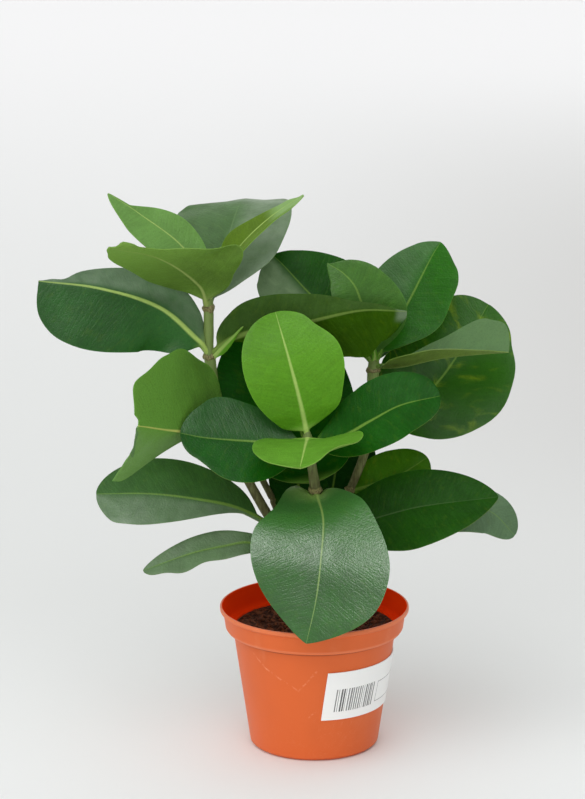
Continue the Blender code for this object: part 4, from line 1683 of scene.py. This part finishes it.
# Pot, soil and label


# Radius and height of the corners of the pot's outer and inner face
POT_WALL = (
    (38.6, 0.0), (40.9, 2.0), (51.5, 74.0), (52.2, 75.0), (55.2, 75.2), (56.5, 77.0), (57.9, 86.8),
    (60.0, 88.0), (60.0, 90.5),
)
POT_INSIDE = ((58.4, 90.5), (55.3, 79.4), (54.3, 78.0), (51.2, 77.4), (50.0, 75.4), (39.5, 4.0))


def radius_at(profile: Sequence[Pair], height: float) -> float:
    """Radius of a profile at a height, both in millimetres."""
    for (r0, z0), (r1, z1) in zip(profile, profile[1:]):
        if min(z0, z1) <= height <= max(z0, z1):
            return r0 + (r1 - r0) * (height - z0) / (z1 - z0)
    return profile[-1][0]


def spun(
    profile: Sequence[Pair], steps: int, start: float = 0.0, sweep: float = 360.0
) -> bmesh.types.BMesh:
    """Spins a profile round the Z axis.

    Args:
        profile: Radius and height pairs in millimetres; a full turn starts and ends on the axis.
        steps: Faces round the turn.
        start: Degrees at which the turn starts.
        sweep: Degrees turned.

    Returns:
        The spun bmesh.
    """
    bm = bmesh.new()
    turn = math.radians(start)
    points = [bm.verts.new((r * MM * math.cos(turn), r * MM * math.sin(turn), z * MM)) for r, z in profile]
    edges = [bm.edges.new(pair) for pair in zip(points, points[1:])]
    full = sweep >= 360.0
    bmesh.ops.spin(
        bm, geom=points + edges, axis=(0, 0, 1), cent=(0, 0, 0), angle=math.radians(sweep), steps=steps,
        use_merge=full,
    )
    bmesh.ops.remove_doubles(bm, verts=bm.verts[:], dist=MERGED)
    bmesh.ops.recalc_face_normals(bm, faces=bm.faces[:])
    return bm


@dataclass
class Pot:
    """The round pot with its stepped collar, rolled rim and drain holes."""

    steps: int = 160
    floor: float = 2.2
    floor_reach: float = 36.0
    # Edges that turn by more than corner_angle are rounded, apart from those near the axis
    corner: float = 0.45
    corner_angle: float = 14.0
    corner_segments: int = 3
    axis_clear: float = 20.0
    # Edges that turn by more degrees stay crisp
    crisp: float = 50.0
    drain_count: int = 6
    drain_radius: float = 3.5
    drain_ring: float = 27.0
    drain_sides: int = 32

    def build(self) -> None:
        """Builds the pot."""
        profile = ((0.0, 0.0), *POT_WALL, *POT_INSIDE, (self.floor_reach, self.floor), (0.0, self.floor))
        bm = spun(profile, self.steps)
        hard = [
            edge for edge in bm.edges
            if edge.is_manifold and edge.calc_face_angle() > math.radians(self.corner_angle)
            and edge.verts[0].co.xy.length > self.axis_clear * MM
        ]
        bmesh.ops.bevel(
            bm, geom=hard, affect="EDGES", offset=self.corner * MM, segments=self.corner_segments,
            profile=0.5, material=-1, clamp_overlap=True,
        )
        for face in bm.faces:
            centre = face.calc_center_median()
            face.material_index = int(face.normal.xy.dot(centre.xy) < 0)
        finish = PlasticFinish()
        materials = [finish.material("pot_plastic"), finish.material("pot_plastic_inside", True)]
        pot = link_mesh("pot_shell", bm, materials, self.crisp)
        drills = self.drills()
        cut = pot.modifiers.new("drain", "BOOLEAN")
        cut.operation = "DIFFERENCE"
        cut.solver = "MANIFOLD"
        cut.object = drills
        apply_modifiers(pot)
        bpy.data.objects.remove(drills, do_unlink=True)
        dressed(pot, "pot", "pot")

    def drills(self) -> bpy.types.Object:
        """The cutters of the drain holes."""
        bm = bmesh.new()
        for index in range(self.drain_count):
            turn = 2 * math.pi * (index + 0.5) / self.drain_count
            radius = self.drain_radius * MM
            made = bmesh.ops.create_cone(
                bm, cap_ends=True, segments=self.drain_sides, radius1=radius, radius2=radius,
                depth=4 * self.floor * MM,
            )["verts"]
            across = Vector((math.cos(turn), math.sin(turn), 0)) * self.drain_ring * MM
            bmesh.ops.translate(bm, verts=made, vec=across)
        return link_mesh("drain_drills", bm, [])


@dataclass
class Soil:
    """The plug of potting soil, with crumbs and fibres lying on it."""

    steps: int = 120
    rings: int = 26
    top: float = 76.6
    bottom: float = 2.5
    foot: float = 35.0
    hole: float = 5.1
    hole_bottom: float = 36.0
    gap: float = 0.3
    # The ground's height, which starts lip outside the hole and fades to nothing over relief_fade at the wall
    relief: float = 2.2
    relief_fade: float = 4.0
    lip: float = 0.5
    # Each swell of the ground: how many to a millimetre, how high, and its seed
    swells: tuple[tuple[float, float, float], ...] = ((0.07, 0.8, 1.0), (0.35, 0.5, 5.0))
    ground_crisp: float = 40.0
    crumb_crisp: float = 35.0
    # Least and greatest sizes in millimetres, all drawn from one seed
    seed: int = 11
    small_crumbs: int = 1100
    large_crumbs: int = 170
    small_sizes: Pair = (0.35, 1.0)
    large_sizes: Pair = (1.1, 2.1)
    fibres: int = 130
    fibre_lengths: Pair = (3.0, 8.0)
    fibre_radii: Pair = (0.12, 0.3)
    fibre_heights: Pair = (0.5, 1.4)
    fibre_bend: float = 0.35
    fibre_droop: float = 1.1
    fibre_rows: int = 4
    fibre_sides: int = 5
    # Least and greatest stretch of a crumb along each axis, how far it turns and tilts in radians, how far
    # it stands out of the ground as a share of its size, and the height and closeness of its jags
    crumb_stretch: tuple[Pair, ...] = ((0.7, 1.4), (0.7, 1.2), (0.5, 0.9))
    crumb_turn: float = 6.28
    crumb_tilt: float = 0.5
    crumb_lift: float = 0.15
    jag_height: float = 0.35
    jag_scale: float = 1400.0
    crumb_lighter: float = 0.12
    # Crumbs and fibres lie between these two distances from the axis
    clear: float = 7.5
    reach: float = 49.0

    def build(self) -> None:
        """Builds the ground and what lies on it."""
        wall = [(r - self.gap, z) for r, z in POT_INSIDE if z < self.top]
        outer = radius_at(POT_INSIDE, self.top) - self.gap
        span = outer - self.hole
        top = [(self.hole + span * i / self.rings, self.top) for i in range(self.rings + 1)]
        hole = [(0.0, self.hole_bottom), (self.hole, self.hole_bottom)]
        profile = [*hole, *top, *wall, (self.foot, self.bottom), (0.0, self.bottom)]
        bm = spun(profile, self.steps)
        for vertex in bm.verts:
            radius = vertex.co.xy.length / MM
            if math.isclose(vertex.co.z / MM, self.top, abs_tol=0.1) and radius > self.hole + self.lip:
                vertex.co.z += self.height(vertex.co.x / MM, vertex.co.y / MM) * MM
        finish = SoilFinish()
        ground = link_mesh("soil_ground", bm, [finish.material("soil_ground")], self.ground_crisp)
        dressed(ground, "soil", "soil")
        self.build_crumbs(finish)

    def height(self, x: float, y: float) -> float:
        """How far the ground stands above or below its level, in millimetres."""
        radius = math.hypot(x, y)
        fade = min(1.0, max(0.0, (radius_at(POT_INSIDE, self.top) - radius) / self.relief_fade))
        parts = [high * noise.noise(Vector((x * near, y * near, seed))) for near, high, seed in self.swells]
        return self.relief * fade * sum(parts)

    def build_crumbs(self, finish: SoilFinish) -> None:
        """Scatters crumbs and fibres over the ground as one piece.

        Args:
            finish: The soil's finish.
        """
        draw = random.Random(self.seed)
        bm = bmesh.new()
        for index in range(self.small_crumbs + self.large_crumbs):
            large = index < self.large_crumbs
            x, y = self.spot(draw)
            size = draw.uniform(*(self.large_sizes if large else self.small_sizes))
            crumb = bmesh.new()
            bmesh.ops.create_icosphere(crumb, subdivisions=2 if large else 1, radius=size * MM)
            stretch = Vector([draw.uniform(*ends) for ends in self.crumb_stretch])
            turn = Matrix.Rotation(draw.uniform(0, self.crumb_turn), 3, "Z")
            turn = turn @ Matrix.Rotation(draw.uniform(-self.crumb_tilt, self.crumb_tilt), 3, "X")
            middle = Vector((x, y, self.top + self.height(x, y) + size * self.crumb_lift)) * MM
            for vertex in crumb.verts:
                place = vertex.co * self.jag_scale + Vector((index, 0, 0))
                jag = 1 + self.jag_height * noise.noise(place)
                vertex.co = middle + turn @ (vertex.co * stretch * jag)
            gather(bm, crumb)
        for _ in range(self.fibres):
            self.fibre(bm, draw)
        bmesh.ops.recalc_face_normals(bm, faces=bm.faces[:])
        skin = finish.material("soil_crumbs", self.crumb_lighter)
        dressed(link_mesh("soil_crumbs", bm, [skin], self.crumb_crisp), "soil")

    def spot(self, draw: random.Random) -> Pair:
        """A random place on the ground, clear of the trunk and the wall."""
        radius = math.sqrt(draw.uniform(self.clear**2, self.reach**2))
        turn = draw.uniform(0, 2 * math.pi)
        return radius * math.cos(turn), radius * math.sin(turn)

    def fibre(self, bm: bmesh.types.BMesh, draw: random.Random) -> None:
        """Adds one thin bent fibre.

        Args:
            bm: The bmesh that receives it.
            draw: The source of random numbers.
        """
        x, y = self.spot(draw)
        turn, length = draw.uniform(0, math.pi), draw.uniform(*self.fibre_lengths)
        ahead = Vector((math.cos(turn), math.sin(turn), 0)) * length / 2
        middle = Vector((x, y, self.top + self.height(x, y) + draw.uniform(*self.fibre_heights)))
        bend = Vector((-ahead.y, ahead.x, draw.uniform(-1, 1)))
        bend *= draw.uniform(-self.fibre_bend, self.fibre_bend)
        thick = draw.uniform(*self.fibre_radii)

        def place(share: float) -> Vector:
            """The fibre's path."""
            part = 2 * share - 1
            droop = Vector((0, 0, self.fibre_droop))
            return middle + ahead * part + bend * (1 - part * part) - droop * part * part

        if max(place(0.0).xy.length, place(1.0).xy.length) < self.reach:
            gather(bm, tube(place, lambda share: thick, self.fibre_rows, self.fibre_sides))


@dataclass
class Label:
    """The paper label wrapped round the right front of the pot."""

    bottom: float = 29.0
    top: float = 61.5
    # The front's direction, where the label starts from it, how far it goes round, and how much further round
    # its top edge is than its bottom one, all in degrees
    front: float = -90.0
    start: float = 5.0
    sweep: float = 89.0
    lean: float = 4.5
    gap: float = 0.3
    thickness: float = 0.5
    steps: int = 72
    rows: int = 8

    def build(self) -> None:
        """Builds the label, leaned as the real one is stuck."""
        heights = [self.bottom + (self.top - self.bottom) * i / self.rows for i in range(self.rows + 1)]
        profile = [(radius_at(POT_WALL, z) + self.gap, z) for z in heights]
        bm = spun(profile, self.steps, self.front + self.start, self.sweep)
        sheet = bm.loops.layers.uv.new("sheet")
        for face in bm.faces:
            for loop in face.loops:
                point = loop.vert.co
                turn = math.degrees(math.atan2(point.y, point.x)) - self.front
                loop[sheet].uv = ((turn - self.start) / self.sweep, self.rise(point))
        for vertex in bm.verts:
            vertex.co.rotate(Matrix.Rotation(math.radians(self.lean * self.rise(vertex.co)), 3, "Z"))
        for face in bm.faces:
            if face.normal.xy.dot(face.calc_center_median().xy) < 0:
                face.normal_flip()
        bmesh.ops.solidify(bm, geom=bm.faces[:], thickness=-self.thickness * MM)
        dressed(link_mesh("label_sheet", bm, [PaperFinish().material("label_paper")]), "label", "label")

    def rise(self, point: Vector) -> float:
        """0 at the label's bottom edge and 1 at its top edge."""
        return (point.z / MM - self.bottom) / (self.top - self.bottom)


# Studio


@dataclass(frozen=True)
class Sun:
    """A far, wide light that shines evenly from one direction."""

    name: str
    place: Point
    power: float
    angle: float
    sheen: bool = False

    def build(self) -> None:
        """Adds the light; a sheen is seen only in gloss, and any other only on matt surfaces."""
        data = bpy.data.lights.new(self.name, "SUN")
        data.energy = self.power
        data.angle = math.radians(self.angle)
        lamp = bpy.data.objects.new(self.name, data)
        lamp.rotation_euler = (-Vector(self.place)).to_track_quat("-Z", "Y").to_euler()
        lamp.visible_glossy = self.sheen
        lamp.visible_diffuse = not self.sheen
        bpy.context.scene.collection.objects.link(lamp)


@dataclass
class Studio:
    """Plain pale floor, soft lights and the camera at the photograph's angle."""

    floor_size: float = 30.0
    camera_place: Point = (-13.9, -1871.0, 691.4)
    camera_pitch: float = 14.0
    focal_pixels: float = 3085.0
    long_side: float = 799.0
    sensor: float = 36.0
    sky_front: Colour = (0.4, 0.4, 0.41, 1.0)
    sky_back: Colour = (1.0, 1.0, 1.0, 1.0)
    sky_span: Pair = (-0.3, 0.9)
    suns: tuple[Sun, ...] = (
        Sun("key", place=(-0.45, -0.75, 0.6), power=1.2, angle=90.0),
        Sun("top", place=(-0.12, -0.42, 0.9), power=0.85, angle=60.0),
        Sun("sheen", place=(0.0, -0.72, 0.7), power=2.5, angle=26.0, sheen=True),
    )

    def build(self) -> None:
        """Builds the floor, the lights and the camera."""
        bm = bmesh.new()
        bmesh.ops.create_grid(bm, x_segments=1, y_segments=1, size=self.floor_size / 2)
        floor = link_mesh("studio_floor", bm, [FloorFinish().material("floor_paper")])
        for sun in self.suns:
            sun.build()
        sky = Graph("studio_sky", of_world=True)
        back = sky.axes(sky.node("ShaderNodeTexCoord", output="Generated"))[1]
        colour = sky.mix(back.rise(*self.sky_span), self.sky_front, self.sky_back)
        bpy.context.scene.world = sky.finish(Color=colour)
        bpy.context.scene.view_settings.view_transform = "Standard"
        self.camera()

    def camera(self) -> None:
        """Adds the camera."""
        data = bpy.data.cameras.new("camera")
        data.sensor_width = self.sensor
        data.lens = self.focal_pixels / self.long_side * self.sensor
        data.clip_start, data.clip_end = 0.1, 100.0
        camera = bpy.data.objects.new("camera", data)
        camera.location = Vector(self.camera_place) * MM
        camera.rotation_euler = (math.radians(90 - self.camera_pitch), 0, 0)
        bpy.context.scene.collection.objects.link(camera)
        bpy.context.scene.camera = camera


def main() -> None:
    """Builds every sub-assembly in order."""
    logging.basicConfig(level=logging.INFO, format="%(name)s: %(message)s")
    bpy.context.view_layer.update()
    for assembly in (Pot(), Soil(), Label(), WoodyStems(), Foliage(), Studio()):
        log.info("building %s", type(assembly).__name__)
        assembly.build()


if __name__ == "__main__":
    main()
